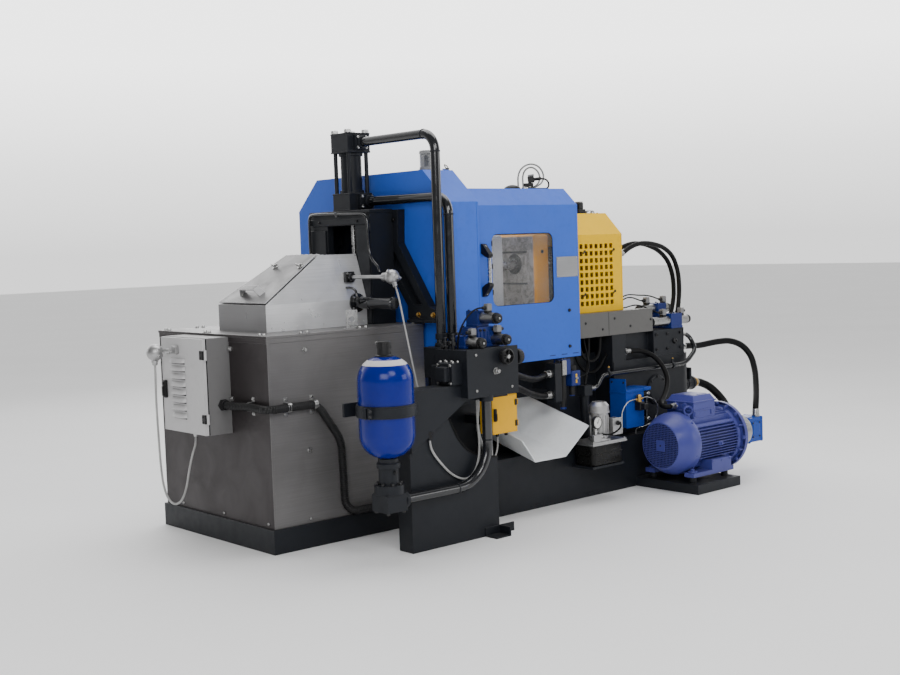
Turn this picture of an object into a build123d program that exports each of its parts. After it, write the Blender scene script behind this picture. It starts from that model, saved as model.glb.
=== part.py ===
from build123d import *
import math
import os

os.makedirs("parts", exist_ok=True)

# ---------------------------------------------------------------------------
# Hot-chamber die casting machine, millimetres.
# Origin on the floor under the centreline of the clamping base.
# +X runs from the furnace to the motor end, -Y is the operator's side, +Z up.
# ---------------------------------------------------------------------------

# Furnace
FURN_X0, FURN_X1 = -1300.0, -412.0      # plinth ends
FURN_Y0, FURN_Y1 = -418.0, 524.0        # plinth sides
PLINTH_H = 106.0
HOUSING_INSET = 12.0
HOUSING_TOP = 922.0
LID_T = 10.0
LID_TOP = HOUSING_TOP + LID_T
POT_X, POT_R, POT_BOTTOM = -870.0, 172.0, 540.0
POT_WALL = 12.0

# Charging hood
HOOD_X0, HOOD_X1 = -1149.0, -590.0
HOOD_HALF_LOW, HOOD_HALF_TOP = 198.0, 129.0
HOOD_SKIRT_Z, HOOD_TOP_Z = 1052.0, 1263.0
HOOD_FOLD_X = -803.0
HOOD_T = 4.0
LID_GAP = 5.0

# Electrical cabinet on the furnace front
CAB_X0, CAB_X1 = -1400.0, -1288.0
CAB_Y0, CAB_Y1 = -105.0, 257.0
CAB_Z0, CAB_Z1 = 497.0, 922.0
CAB_T = 5.0
CDOOR_X0, CDOOR_X1 = -1420.0, -1405.0
CHINGE_X, CHINGE_Y = -1412.0, -112.0

# Injection unit
INJ_X = -500.0
HEAD_SQ = 132.0
TIE_SQ = 104.0
LOW_HEAD_Z0, LOW_HEAD_Z1 = 1468.0, 1552.0
TOP_HEAD_Z0, TOP_HEAD_Z1 = 1743.0, 1837.0
CYL_R = 50.0
INJ_ROD_R = 14.0
PORTAL_X0, PORTAL_X1 = -584.0, -450.0
PORTAL_HALF = 238.0
YOKE_X0, YOKE_X1 = -450.0, -407.0
PIPE_R = 22.0
PIPE_Y = -620.0

# Guards
GUARD_X0, GUARD_X1 = -407.0, -220.0
GUARD_HALF, GUARD_TOP_HALF = 587.0, 417.0
GUARD_SHOULDER, GUARD_TOP = 1485.0, 1640.0
GUARD_BOTTOM = 715.0
SHEET = 5.0
DOOR_X0, DOOR_X1 = -240.0, 475.0
DOOR_Y = 560.0
DOOR_FOLD_Z, DOOR_TOP_Z, DOOR_TOP_Y = 1468.0, 1552.0, 470.0
WIN_X0, WIN_X1, WIN_Z0, WIN_Z1 = -117.0, 294.0, 992.0, 1333.0
WIN_R = 36.0
YEL_X0, YEL_X1 = 470.0, 888.0
YEL_HALF, YEL_TOP_HALF = 488.0, 378.0
YEL_Z0, YEL_FOLD, YEL_TOP = 916.0, 1316.0, 1429.0
YEL_T = 4.0
HOLE, HOLE_NX, HOLE_NZ = 23.0, 7, 9      # square holes in each grille
HOLE_X0, HOLE_X1, HOLE_Z0, HOLE_Z1 = 574.0, 801.0, 964.0, 1257.0
GRILLE_X0, GRILLE_X1, GRILLE_Z0, GRILLE_Z1 = 553.0, 822.0, 940.0, 1281.0
GUIDE_X0, GUIDE_X1 = -200.0, 1063.0
GUIDE_Z0, GUIDE_Z1 = 794.0, 916.0

# Clamping unit
BASE_X0, BASE_X1, BASE_HALF, BASE_H = -400.0, 1400.0, 601.0, 270.0
BED_HALF, BED_TOP = 420.0, 520.0
FIX_X0, FIX_X1 = 5.0, 115.0
MOV_X0, MOV_X1 = 331.0, 441.0
PLATEN_HALF, PLATEN_TOP, PLATEN_EDGE = 400.0, 1328.0, 20.0
REAR_X0, REAR_X1 = 600.0, 700.0
BAR_R, BAR_Y, BAR_Z0, BAR_Z1 = 30.0, 250.0, 700.0, 1180.0
CLAMP_Z, CLAMP_ROD_R = 940.0, 40.0
FIT = 0.06                              # running clearance on rods

# Valve stand
PED_Y0, PED_Y1 = -860.0, -756.0
MAN_X0, MAN_X1, MAN_Y0, MAN_Y1 = -608.0, -312.0, -908.0, -699.0
MAN_Z0, MAN_Z1 = 633.0, 837.0
ACC_X, ACC_Y, ACC_R = -1020.0, -862.0, 116.0
ACC_Z0, ACC_Z1 = 428.0, 849.0
BOX_X0, BOX_X1, BOX_Y0, BOX_Y1, BOX_Z0, BOX_Z1 = -255.0, -98.0, -660.0, -590.0, 410.0, 588.0

# Power pack
TANK_X0, TANK_X1, TANK_HALF, TANK_TOP = 735.0, 1400.0, 540.0, 655.0
TANK_CORNER_R = 90.0
RMAN_TOP = 795.0
MOT_Y, MOT_Z = -803.0, 236.0
COWL_X0, COWL_X1, COWL_R = 784.0, 922.0, 160.0
FRAME_X1, FRAME_R = 1262.0, 130.0
FLANGE_X1, FLANGE_R = 1286.0, 175.0


def block(x0, x1, y0, y1, z0, z1, mode=Mode.ADD):
    # a plain block given by its two corners
    with Locations(((x0 + x1) / 2, (y0 + y1) / 2, (z0 + z1) / 2)):
        Box(x1 - x0, y1 - y0, z1 - z0, mode=mode)


def rod(axis, centre, r, length, mode=Mode.ADD):
    # a round bar centred on a point, along X, Y or Z
    turn = {"X": (0, 90, 0), "Y": (90, 0, 0), "Z": (0, 0, 0)}[axis]
    with Locations(Location(centre, turn)):
        Cylinder(r, length, mode=mode)


def cord_radii(pts, label):
    # one radius a corner: 0.45 of the shorter run over the tangent of half the turn
    out = []
    for a, b, c in zip(pts, pts[1:], pts[2:]):
        u, v = Vector(*b) - Vector(*a), Vector(*c) - Vector(*b)
        turn = math.radians(u.get_angle(v))
        out.append(0.45 * min(u.length, v.length) / math.tan(turn / 2))
    print(label, "radii", [round(r) for r in out])
    return out


# ---------------------------------------------------------------- furnace ---
with BuildPart() as furnace_base:
    block(FURN_X0, FURN_X1, FURN_Y0, FURN_Y1, 0, PLINTH_H)
furnace_base.part.label = "furnace_base"
export_step(furnace_base.part, "parts/furnace_base.step")

with BuildPart() as furnace_housing:
    block(FURN_X0 + HOUSING_INSET, FURN_X1 - HOUSING_INSET, FURN_Y0 + HOUSING_INSET,
          FURN_Y1 - HOUSING_INSET, PLINTH_H, HOUSING_TOP)
    # round pit that takes the melting pot
    with Locations((POT_X, 0, POT_BOTTOM - 60)):
        Cylinder(POT_R + 28, HOUSING_TOP - POT_BOTTOM + 60,
                 align=(Align.CENTER, Align.CENTER, Align.MIN), mode=Mode.SUBTRACT)
furnace_housing.part.label = "furnace_housing"
export_step(furnace_housing.part, "parts/furnace_housing.step")

with BuildPart() as furnace_lid:
    block(FURN_X0 + 8, FURN_X1 - 8, FURN_Y0 + 8, FURN_Y1 - 8, HOUSING_TOP, LID_TOP)
    with Locations((POT_X, 0, HOUSING_TOP)):
        Cylinder(POT_R + 6, LID_T, align=(Align.CENTER, Align.CENTER, Align.MIN),
                 mode=Mode.SUBTRACT)
furnace_lid.part.label = "furnace_lid"
export_step(furnace_lid.part, "parts/furnace_lid.step")

with BuildPart() as crucible:
    with BuildSketch(Plane.XZ):
        with BuildLine():
            Polyline((0, POT_BOTTOM), (POT_R - 40, POT_BOTTOM), (POT_R, POT_BOTTOM + 60),
                     (POT_R, LID_TOP), (POT_R + 20, LID_TOP), (POT_R + 20, LID_TOP + 12),
                     (POT_R - POT_WALL, LID_TOP + 12), (POT_R - POT_WALL, POT_BOTTOM + 66),
                     (POT_R - 46, POT_BOTTOM + POT_WALL), (0, POT_BOTTOM + POT_WALL), close=True)
        make_face()
    revolve(axis=Axis.Z)
crucible.part.label = "crucible"
crucible.part.locate(Location((POT_X, 0, 0)))
export_step(crucible.part, "parts/crucible.step")

# slope of the charging face, from the skirt's top edge up to the roof fold
slope_len = math.hypot(HOOD_FOLD_X - HOOD_X0, HOOD_TOP_Z - HOOD_SKIRT_Z)
slope_u = ((HOOD_FOLD_X - HOOD_X0) / slope_len, 0, (HOOD_TOP_Z - HOOD_SKIRT_Z) / slope_len)
slope_n = (-slope_u[2], 0, slope_u[0])

with BuildPart() as furnace_hood:
    block(HOOD_X0, HOOD_X1, -HOOD_HALF_LOW, HOOD_HALF_LOW, LID_TOP, HOOD_SKIRT_Z)
    with BuildSketch(Plane.XY.offset(HOOD_SKIRT_Z)):
        with Locations(((HOOD_X0 + HOOD_X1) / 2, 0)):
            Rectangle(HOOD_X1 - HOOD_X0, 2 * HOOD_HALF_LOW)
    with BuildSketch(Plane.XY.offset(HOOD_TOP_Z)):
        with Locations(((HOOD_FOLD_X + HOOD_X1) / 2, 0)):
            Rectangle(HOOD_X1 - HOOD_FOLD_X, 2 * HOOD_HALF_TOP)
    loft(ruled=True)
    # hollow inside, open at the bottom
    block(HOOD_X0 + HOOD_T, HOOD_X1 - HOOD_T, -HOOD_HALF_LOW + HOOD_T, HOOD_HALF_LOW - HOOD_T,
          LID_TOP, HOOD_SKIRT_Z, mode=Mode.SUBTRACT)
    with BuildSketch(Plane.XY.offset(HOOD_SKIRT_Z)):
        with Locations(((HOOD_X0 + HOOD_X1) / 2, 0)):
            Rectangle(HOOD_X1 - HOOD_X0 - 2 * HOOD_T, 2 * (HOOD_HALF_LOW - HOOD_T))
    with BuildSketch(Plane.XY.offset(HOOD_TOP_Z - HOOD_T)):
        with Locations(((HOOD_FOLD_X + HOOD_X1) / 2, 0)):
            Rectangle(HOOD_X1 - HOOD_FOLD_X - 2 * HOOD_T, 2 * (HOOD_HALF_TOP - HOOD_T))
    loft(ruled=True, mode=Mode.SUBTRACT)
    # charging mouth in the slope
    with BuildSketch(Plane(origin=(HOOD_X0 + slope_u[0] * slope_len * 0.5, 0,
                                   HOOD_SKIRT_Z + slope_u[2] * slope_len * 0.5),
                           x_dir=slope_u, z_dir=slope_n)):
        Rectangle(slope_len - 90, 220)
    extrude(amount=20, both=True, mode=Mode.SUBTRACT)
furnace_hood.part.label = "furnace_hood"
export_step(furnace_hood.part, "parts/furnace_hood.step")

# lid over the charging mouth, hinged on the roof fold
lid_plane = Plane(origin=(HOOD_X0 + slope_n[0] * LID_GAP, 0, HOOD_SKIRT_Z + slope_n[2] * LID_GAP),
                  x_dir=slope_u, z_dir=slope_n)
with BuildPart() as loading_lid:
    with BuildSketch(lid_plane):
        with BuildLine():
            Polyline((6, -HOOD_HALF_LOW + 6), (slope_len - 6, -HOOD_HALF_TOP + 6),
                     (slope_len - 6, HOOD_HALF_TOP - 6), (6, HOOD_HALF_LOW - 6), close=True)
        make_face()
    extrude(amount=4)
    # bent strap handle near the lower edge
    with BuildSketch(Plane(origin=lid_plane.from_local_coords((60, 0, 4)),
                           x_dir=(0, 1, 0), z_dir=slope_u)):
        with BuildLine():
            Polyline((-82, 0), (-58, 34), (58, 34), (82, 0), (76, 0), (55, 29), (-55, 29),
                     (-76, 0), close=True)
        make_face()
    extrude(amount=34)
loading_lid.part.label = "loading_lid"
export_step(loading_lid.part, "parts/loading_lid.step")

# ---------------------------------------------------- electrical cabinet ---
with BuildPart() as electrical_cabinet:
    block(CAB_X0, CAB_X1, CAB_Y0, CAB_Y1, CAB_Z0, CAB_Z1)
    block(CAB_X0, CAB_X1 - CAB_T, CAB_Y0 + CAB_T, CAB_Y1 - CAB_T, CAB_Z0 + CAB_T, CAB_Z1 - CAB_T,
          mode=Mode.SUBTRACT)
    # raised mounting plate inside
    block(CAB_X1 - CAB_T - 8, CAB_X1 - CAB_T, CAB_Y0 + 30, CAB_Y1 - 30, CAB_Z0 + 30, CAB_Z1 - 30)
electrical_cabinet.part.label = "electrical_cabinet"
export_step(electrical_cabinet.part, "parts/electrical_cabinet.step")

with BuildPart() as cabinet_door:
    block(CDOOR_X0, CDOOR_X1, CAB_Y0 + 2, CAB_Y1 - 2, CAB_Z0 + 2, CAB_Z1 - 2)
    for hz in (570.0, 850.0):
        rod("Z", (CHINGE_X, CHINGE_Y, hz), 6, 44)
        block(CHINGE_X - 3, CHINGE_X + 3, CHINGE_Y, CAB_Y0 + 6, hz - 22, hz + 22)
    # latch body
    block(CDOOR_X0 - 14, CDOOR_X0, 216, 236, 650, 722)
cabinet_door.part.label = "cabinet_door"
export_step(cabinet_door.part, "parts/cabinet_door.step")

# thermocouple parked on the cabinet door
TC2 = (-1486.0, 196.0, 856.0)
TC2_AT = (-1420.0, 120.0, 864.0)
with BuildPart() as parked_thermocouple:
    with Locations(TC2):
        Sphere(38)
    tc2_dir = Vector(*TC2_AT) - Vector(*TC2)
    with BuildSketch(Plane(origin=TC2, z_dir=tc2_dir)):
        Circle(9)
    extrude(amount=tc2_dir.length - 14)
    block(-1434, -1420, 104, 136, 852, 882)
    rod("Z", (TC2[0], TC2[1] + 6, 816), 11, 34)
parked_thermocouple.part.label = "parked_thermocouple"
export_step(parked_thermocouple.part, "parts/parked_thermocouple.step")

# hanging lead of the parked thermocouple
LEAD_R = 5.0
lead2_pts = [(-1486, 202, 799), (-1486, 202, 745), (-1489, 202, 660), (-1490, 198, 560), (-1491, 192, 450),
             (-1490, 188, 345), (-1487, 178, 255), (-1478, 156, 195), (-1462, 126, 172), (-1444, 96, 190),
             (-1428, 76, 250), (-1416, 66, 335), (-1398, 60, 405), (-1380, 56, 452), (-1380, 56, 497)]


with BuildPart() as thermocouple_lead:
    with BuildLine() as lead2_path:
        FilletPolyline(*lead2_pts, radius=cord_radii(lead2_pts, "thermocouple_lead"))
    with BuildSketch(Plane(origin=lead2_pts[0], z_dir=Vector(*lead2_pts[1]) - Vector(*lead2_pts[0]))):
        Circle(LEAD_R)
    sweep()
thermocouple_lead.part.label = "thermocouple_lead"
print("thermocouple_lead", round(lead2_path.wire().length), thermocouple_lead.part.volume
      / (math.pi * LEAD_R ** 2 * lead2_path.wire().length))
export_step(thermocouple_lead.part, "parts/thermocouple_lead.step")

# conduit from the cabinet round the furnace corner, held by saddle clamps
CON_R = 17.0
with BuildPart() as conduit:
    with BuildLine() as con_path:
        FilletPolyline((-1330, -105, 626), (-1330, -190, 626), (-1313, -300, 629), (-1328, -450, 625),
                       (-1180, -431, 625), (-1060, -431, 623), (-938, -431, 450), (-936, -438, 128),
                       (-640, -439, 127), radius=[150, 150, 60, 200, 110, 140, 80])
    with BuildSketch(Plane(origin=(-1330, -105, 626), z_dir=(0, -1, 0))):
        Circle(CON_R)
    sweep()
conduit.part.label = "conduit"
export_step(conduit.part, "parts/conduit.step")

# thermocouple standing out of the hood's operator side
TC = (-672.0, -498.0, 1157.0)
TC_OUT = Vector(-0.2, -0.62, -0.76).normalized()
hood_side_y = -(HOOD_HALF_LOW + (HOOD_HALF_TOP - HOOD_HALF_LOW) * (TC[2] - HOOD_SKIRT_Z)
                / (HOOD_TOP_Z - HOOD_SKIRT_Z))
with BuildPart() as thermocouple:
    with Locations(TC):
        Sphere(34)
    rod("Y", (TC[0], (TC[1] + hood_side_y - 12) / 2, TC[2]), 9, hood_side_y - 12 - TC[1])
    rod("Y", (TC[0], TC[1] + 44, TC[2]), 17, 30)
    with BuildSketch(Plane(origin=TC, z_dir=TC_OUT)):
        Circle(9)
    extrude(amount=58)
    # clamp foot on the sloping hood side
    with BuildSketch(Plane.YZ.offset(TC[0] - 22)):
        with BuildLine():
            Polyline((hood_side_y - 24, TC[2] - 22), (hood_side_y - 24, TC[2] + 22),
                     (hood_side_y + 22 * 69 / 211, TC[2] + 22), (hood_side_y - 22 * 69 / 211, TC[2] - 22), close=True)
        make_face()
    extrude(amount=44)
thermocouple.part.label = "thermocouple"
export_step(thermocouple.part, "parts/thermocouple.step")

TCC_R = 4.0
tcc0 = Vector(*TC) + TC_OUT * 58
tcc1 = Vector(*TC) + TC_OUT * 100
tcc_pts = [(tcc0.X, tcc0.Y, tcc0.Z), (tcc1.X, tcc1.Y, tcc1.Z), (-703, -592, 1018), (-710, -618, 948), (-716, -645, 878),
           (-720, -668, 810), (-721, -688, 748), (-720, -701, 698), (-720, -713, 663), (-720, -734, 644), (-720, -756, 644)]
with BuildPart() as thermocouple_cable:
    with BuildLine() as tcc_path:
        FilletPolyline(*tcc_pts, radius=cord_radii(tcc_pts, "thermocouple_cable"))
    with BuildSketch(Plane(origin=tcc_pts[0], z_dir=TC_OUT)):
        Circle(TCC_R)
    sweep()
thermocouple_cable.part.label = "thermocouple_cable"
print("thermocouple_cable", round(tcc_path.wire().length), thermocouple_cable.part.volume
      / (math.pi * TCC_R ** 2 * tcc_path.wire().length))
export_step(thermocouple_cable.part, "parts/thermocouple_cable.step")

# ---------------------------------------------------------- injection unit ---
with BuildPart() as injection_portal:
    block(PORTAL_X0, PORTAL_X1, -PORTAL_HALF, PORTAL_HALF, LID_TOP, LOW_HEAD_Z0)
    # open box between the cheeks, and the window in the front plate
    block(PORTAL_X0 + 34, PORTAL_X1, -PORTAL_HALF + 34, PORTAL_HALF - 34, LID_TOP, LOW_HEAD_Z0 - 30,
          mode=Mode.SUBTRACT)
    block(PORTAL_X0, PORTAL_X0 + 40, -124, 96, LID_TOP, 1398, mode=Mode.SUBTRACT)
    rod("Z", (INJ_X, 0, LOW_HEAD_Z0 - 15), INJ_ROD_R + 6, 40, mode=Mode.SUBTRACT)
injection_portal.part.label = "injection_portal"
export_step(injection_portal.part, "parts/injection_portal.step")

with BuildPart() as injection_yoke:
    # plate with spreading legs behind the portal
    with BuildSketch(Plane.YZ.offset(YOKE_X0)):
        with BuildLine():
            Polyline((-280, 1464), (280, 1464), (271, 1306), (481, 1011), (540, 992), (540, 952),
                     (330, 952), (330, 1011), (90, 1330), (-90, 1330), (-330, 1011), (-330, 952),
                     (-540, 952), (-540, 992), (-481, 1011), (-271, 1306), close=True)
        make_face()
        for s in (-1, 1):
            with BuildLine(mode=Mode.PRIVATE) as slot_line:
                Polyline((s * 145, 1395), (s * 220, 1395), (s * 215, 1304), (s * 431, 1019),
                         (s * 372, 1019), (s * 140, 1304), close=True)
            make_face(slot_line.edges(), mode=Mode.SUBTRACT)
    extrude(amount=YOKE_X1 - YOKE_X0)
    # thin plate that closes the two slots at the back
    with BuildSketch(Plane.YZ.offset(YOKE_X1 - 7)):
        for s in (-1, 1):
            with BuildLine(mode=Mode.PRIVATE) as back_line:
                Polyline((s * 145, 1395), (s * 220, 1395), (s * 215, 1304), (s * 431, 1019),
                         (s * 372, 1019), (s * 140, 1304), close=True)
            make_face(back_line.edges())
    extrude(amount=7)
injection_yoke.part.label = "injection_yoke"
export_step(injection_yoke.part, "parts/injection_yoke.step")

with BuildPart() as injection_cylinder:
    block(INJ_X - HEAD_SQ / 2, INJ_X + HEAD_SQ / 2, -HEAD_SQ / 2, HEAD_SQ / 2, LOW_HEAD_Z0, LOW_HEAD_Z1)
    block(INJ_X - HEAD_SQ / 2, INJ_X + HEAD_SQ / 2, -HEAD_SQ / 2, HEAD_SQ / 2, TOP_HEAD_Z0, TOP_HEAD_Z1)
    rod("Z", (INJ_X, 0, (LOW_HEAD_Z1 + TOP_HEAD_Z0) / 2), CYL_R, TOP_HEAD_Z0 - LOW_HEAD_Z1)
    # bore for the plunger rod
    with Locations((INJ_X, 0, LOW_HEAD_Z0)):
        Cylinder(INJ_ROD_R + FIT, 260, align=(Align.CENTER, Align.CENTER, Align.MIN), mode=Mode.SUBTRACT)
    # port flanges on the operator's side
    block(INJ_X - 34, INJ_X + 34, -HEAD_SQ / 2 - 24, -HEAD_SQ / 2, 1756, 1824)
    block(INJ_X - 20, INJ_X + 60, -HEAD_SQ / 2 - 24, -HEAD_SQ / 2, 1476, 1544)
    # tie rods and their nuts
    with Locations((INJ_X, 0, 0)):
        with GridLocations(TIE_SQ, TIE_SQ, 2, 2):
            with Locations((0, 0, LOW_HEAD_Z1)):
                Cylinder(10, TOP_HEAD_Z0 - LOW_HEAD_Z1, align=(Align.CENTER, Align.CENTER, Align.MIN))
            with Locations((0, 0, TOP_HEAD_Z1)):
                Cylinder(14, 16, align=(Align.CENTER, Align.CENTER, Align.MIN))
injection_cylinder.part.label = "injection_cylinder"
export_step(injection_cylinder.part, "parts/injection_cylinder.step")

with BuildPart() as injection_rod:
    with Locations((INJ_X, 0, 1090)):
        Cylinder(INJ_ROD_R, 600, align=(Align.CENTER, Align.CENTER, Align.MIN))
    with Locations((INJ_X, 0, 1090)):
        Cylinder(24, 150, align=(Align.CENTER, Align.CENTER, Align.MIN))
injection_rod.part.label = "injection_rod"
export_step(injection_rod.part, "parts/injection_rod.step")

# rigid pipes: points, corner radii, outer radius
LOW_PIPE_X = INJ_X + 58
AP_R = 22.0
TANK_PIPE_R = 12.0
PIPES = [
    ([(INJ_X, -HEAD_SQ / 2 - 24, 1790), (INJ_X, PIPE_Y, 1790), (INJ_X, PIPE_Y, MAN_Z1)], [80], PIPE_R),
    ([(INJ_X + 30, -HEAD_SQ / 2 - 24, 1510), (INJ_X + 30, -160, 1510), (LOW_PIPE_X, -300, 1510),
      (LOW_PIPE_X, PIPE_Y - 10, 1510), (LOW_PIPE_X, PIPE_Y - 10, MAN_Z1)], [100, 100, 80], PIPE_R),
    ([(ACC_X + 52, -885, 250), (-483, -885, 250), (-483, -885, MAN_Z0)], [180], AP_R),
    ([(520, -562, 538), (585, -562, 538), (615, -575, 600), (700, -575, 601), (1290, -575, 603),
      (1392, -565, 672), (1392, -512, 759), (1317, -512, 759)], [40, 40, 300, 150, 60, 45], TANK_PIPE_R),
]
with BuildPart() as steel_pipes:
    for pts, radii, r in PIPES:
        with BuildLine():
            FilletPolyline(*pts, radius=radii)
        with BuildSketch(Plane(origin=pts[0], z_dir=Vector(*pts[1]) - Vector(*pts[0]))):
            Circle(r)
        sweep()
steel_pipes.part.label = "steel_pipes"
export_step(steel_pipes.part, "parts/steel_pipes.step")

# ------------------------------------------------------------------ guards ---
with BuildPart() as front_guard:
    with BuildSketch(Plane.YZ.offset(GUARD_X0)):
        with BuildLine():
            Polyline((-GUARD_HALF, GUARD_BOTTOM), (-GUARD_HALF, GUARD_SHOULDER), (-GUARD_TOP_HALF, GUARD_TOP),
                     (GUARD_TOP_HALF, GUARD_TOP), (GUARD_HALF, GUARD_SHOULDER), (GUARD_HALF, GUARD_BOTTOM), close=True)
        make_face()
    extrude(amount=GUARD_X1 - GUARD_X0)
    with BuildSketch(Plane.YZ.offset(GUARD_X0 + SHEET)):
        with BuildLine():
            Polyline((-GUARD_HALF + SHEET, GUARD_BOTTOM - 1), (-GUARD_HALF + SHEET, GUARD_SHOULDER - 2),
                     (-GUARD_TOP_HALF + 2, GUARD_TOP - SHEET), (GUARD_TOP_HALF - 2, GUARD_TOP - SHEET),
                     (GUARD_HALF - SHEET, GUARD_SHOULDER - 2), (GUARD_HALF - SHEET, GUARD_BOTTOM - 1), close=True)
        make_face()
    extrude(amount=GUARD_X1 - GUARD_X0, mode=Mode.SUBTRACT)
front_guard.part.label = "front_guard"
export_step(front_guard.part, "parts/front_guard.step")

with BuildPart() as safety_door:
    with BuildSketch(Plane.YZ.offset(DOOR_X0)):
        with BuildLine():
            Polyline((-DOOR_Y, GUARD_BOTTOM - 3), (-DOOR_Y, DOOR_FOLD_Z), (-DOOR_TOP_Y, DOOR_TOP_Z),
                     (-DOOR_TOP_Y + 4, DOOR_TOP_Z - 4), (-DOOR_Y + SHEET, DOOR_FOLD_Z - 2),
                     (-DOOR_Y + SHEET, GUARD_BOTTOM - 3), close=True)
        make_face()
    extrude(amount=DOOR_X1 - DOOR_X0)
    with BuildSketch(Plane.XZ.offset(DOOR_Y)):
        with Locations(((WIN_X0 + WIN_X1) / 2, (WIN_Z0 + WIN_Z1) / 2)):
            RectangleRounded(WIN_X1 - WIN_X0, WIN_Z1 - WIN_Z0, WIN_R)
    extrude(amount=20, both=True, mode=Mode.SUBTRACT)
safety_door.part.label = "safety_door"
export_step(safety_door.part, "parts/safety_door.step")

with BuildPart() as door_window:
    block(WIN_X0 - 20, WIN_X1 + 20, -DOOR_Y + SHEET, -DOOR_Y + SHEET + 5, WIN_Z0 - 20, WIN_Z1 + 20)
door_window.part.label = "door_window"
export_step(door_window.part, "parts/door_window.step")

HANDLE_X = -174.0
with BuildPart() as door_handle:
    rod("Z", (HANDLE_X, -DOOR_Y - 42, 1166), 11, 244)
    for hz in (1060.0, 1272.0):
        block(HANDLE_X - 13, HANDLE_X + 13, -DOOR_Y - 54, -DOOR_Y, hz - 16, hz + 16)
door_handle.part.label = "door_handle"
export_step(door_handle.part, "parts/door_handle.step")

with BuildPart() as rear_guard:
    with BuildSketch(Plane.YZ.offset(GUARD_X1)):
        with BuildLine():
            Polyline((DOOR_Y, GUARD_BOTTOM - 3), (DOOR_Y, DOOR_FOLD_Z), (DOOR_TOP_Y, DOOR_TOP_Z),
                     (DOOR_TOP_Y - 4, DOOR_TOP_Z - 4), (DOOR_Y - SHEET, DOOR_FOLD_Z - 2),
                     (DOOR_Y - SHEET, GUARD_BOTTOM - 3), close=True)
        make_face()
    extrude(amount=DOOR_X1 - GUARD_X1)
    with BuildSketch(Plane.XZ.offset(-DOOR_Y)):
        with Locations(((WIN_X0 + WIN_X1) / 2, (WIN_Z0 + WIN_Z1) / 2)):
            RectangleRounded(WIN_X1 - WIN_X0, WIN_Z1 - WIN_Z0, WIN_R)
    extrude(amount=20, both=True, mode=Mode.SUBTRACT)
rear_guard.part.label = "rear_guard"
export_step(rear_guard.part, "parts/rear_guard.step")

with BuildPart() as rear_window:
    block(WIN_X0 - 20, WIN_X1 + 20, DOOR_Y - SHEET - 5, DOOR_Y - SHEET, WIN_Z0 - 20, WIN_Z1 + 20)
rear_window.part.label = "rear_window"
export_step(rear_window.part, "parts/rear_window.step")

with BuildPart() as yellow_guard:
    with BuildSketch(Plane.YZ.offset(YEL_X0)):
        with BuildLine():
            Polyline((-YEL_HALF, YEL_Z0), (-YEL_HALF, YEL_FOLD), (-YEL_TOP_HALF, YEL_TOP), (YEL_TOP_HALF, YEL_TOP),
                     (YEL_HALF, YEL_FOLD), (YEL_HALF, YEL_Z0), (YEL_HALF - YEL_T, YEL_Z0),
                     (YEL_HALF - YEL_T, YEL_FOLD - 2), (YEL_TOP_HALF - 2, YEL_TOP - YEL_T),
                     (-YEL_TOP_HALF + 2, YEL_TOP - YEL_T), (-YEL_HALF + YEL_T, YEL_FOLD - 2),
                     (-YEL_HALF + YEL_T, YEL_Z0), close=True)
        make_face()
    extrude(amount=YEL_X1 - YEL_X0)
    # openings for the two grilles
    block(GRILLE_X0, GRILLE_X1, -YEL_HALF - 5, YEL_HALF + 5, GRILLE_Z0, GRILLE_Z1, mode=Mode.SUBTRACT)
    # end plate
    with BuildSketch(Plane.YZ.offset(YEL_X1 - YEL_T)):
        with BuildLine():
            Polyline((-YEL_HALF, YEL_Z0), (-YEL_HALF, YEL_FOLD), (-YEL_TOP_HALF, YEL_TOP), (YEL_TOP_HALF, YEL_TOP),
                     (YEL_HALF, YEL_FOLD), (YEL_HALF, YEL_Z0), close=True)
        make_face()
    extrude(amount=YEL_T)
yellow_guard.part.label = "yellow_guard"
export_step(yellow_guard.part, "parts/yellow_guard.step")

with BuildPart() as guard_grilles:
    for s in (-1, 1):
        y = s * (YEL_HALF - YEL_T / 2)
        block(GRILLE_X0, GRILLE_X1, y - YEL_T / 2, y + YEL_T / 2, GRILLE_Z0, GRILLE_Z1)
    with BuildSketch(Plane.XZ):
        with Locations(((HOLE_X0 + HOLE_X1) / 2, (HOLE_Z0 + HOLE_Z1) / 2)):
            with GridLocations((HOLE_X1 - HOLE_X0) / (HOLE_NX - 1), (HOLE_Z1 - HOLE_Z0) / (HOLE_NZ - 1),
                               HOLE_NX, HOLE_NZ):
                Rectangle(HOLE, HOLE)
    extrude(amount=YEL_HALF + 20, both=True, mode=Mode.SUBTRACT)
guard_grilles.part.label = "guard_grilles"
export_step(guard_grilles.part, "parts/guard_grilles.step")

with BuildPart() as door_guide:
    for s in (-1, 1):
        block(GUIDE_X0, GUIDE_X1, min(s * 478, s * 538), max(s * 478, s * 538), GUIDE_Z0, GUIDE_Z1)
        block(FIX_X0 + 22, FIX_X1 - 22, min(s * 400, s * 478), max(s * 400, s * 478), GUIDE_Z0 + 20, GUIDE_Z1 - 20)
        block(620, 680, min(s * 330, s * 478), max(s * 330, s * 478), GUIDE_Z0 + 20, GUIDE_Z1 - 20)
    # spacers that carry the fixed rear guard
    for sx in (-60.0, 380.0):
        block(sx, sx + 40, 538, DOOR_Y - SHEET, GUIDE_Z0 + 20, GUIDE_Z1 - 20)
door_guide.part.label = "door_guide"
export_step(door_guide.part, "parts/door_guide.step")

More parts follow.
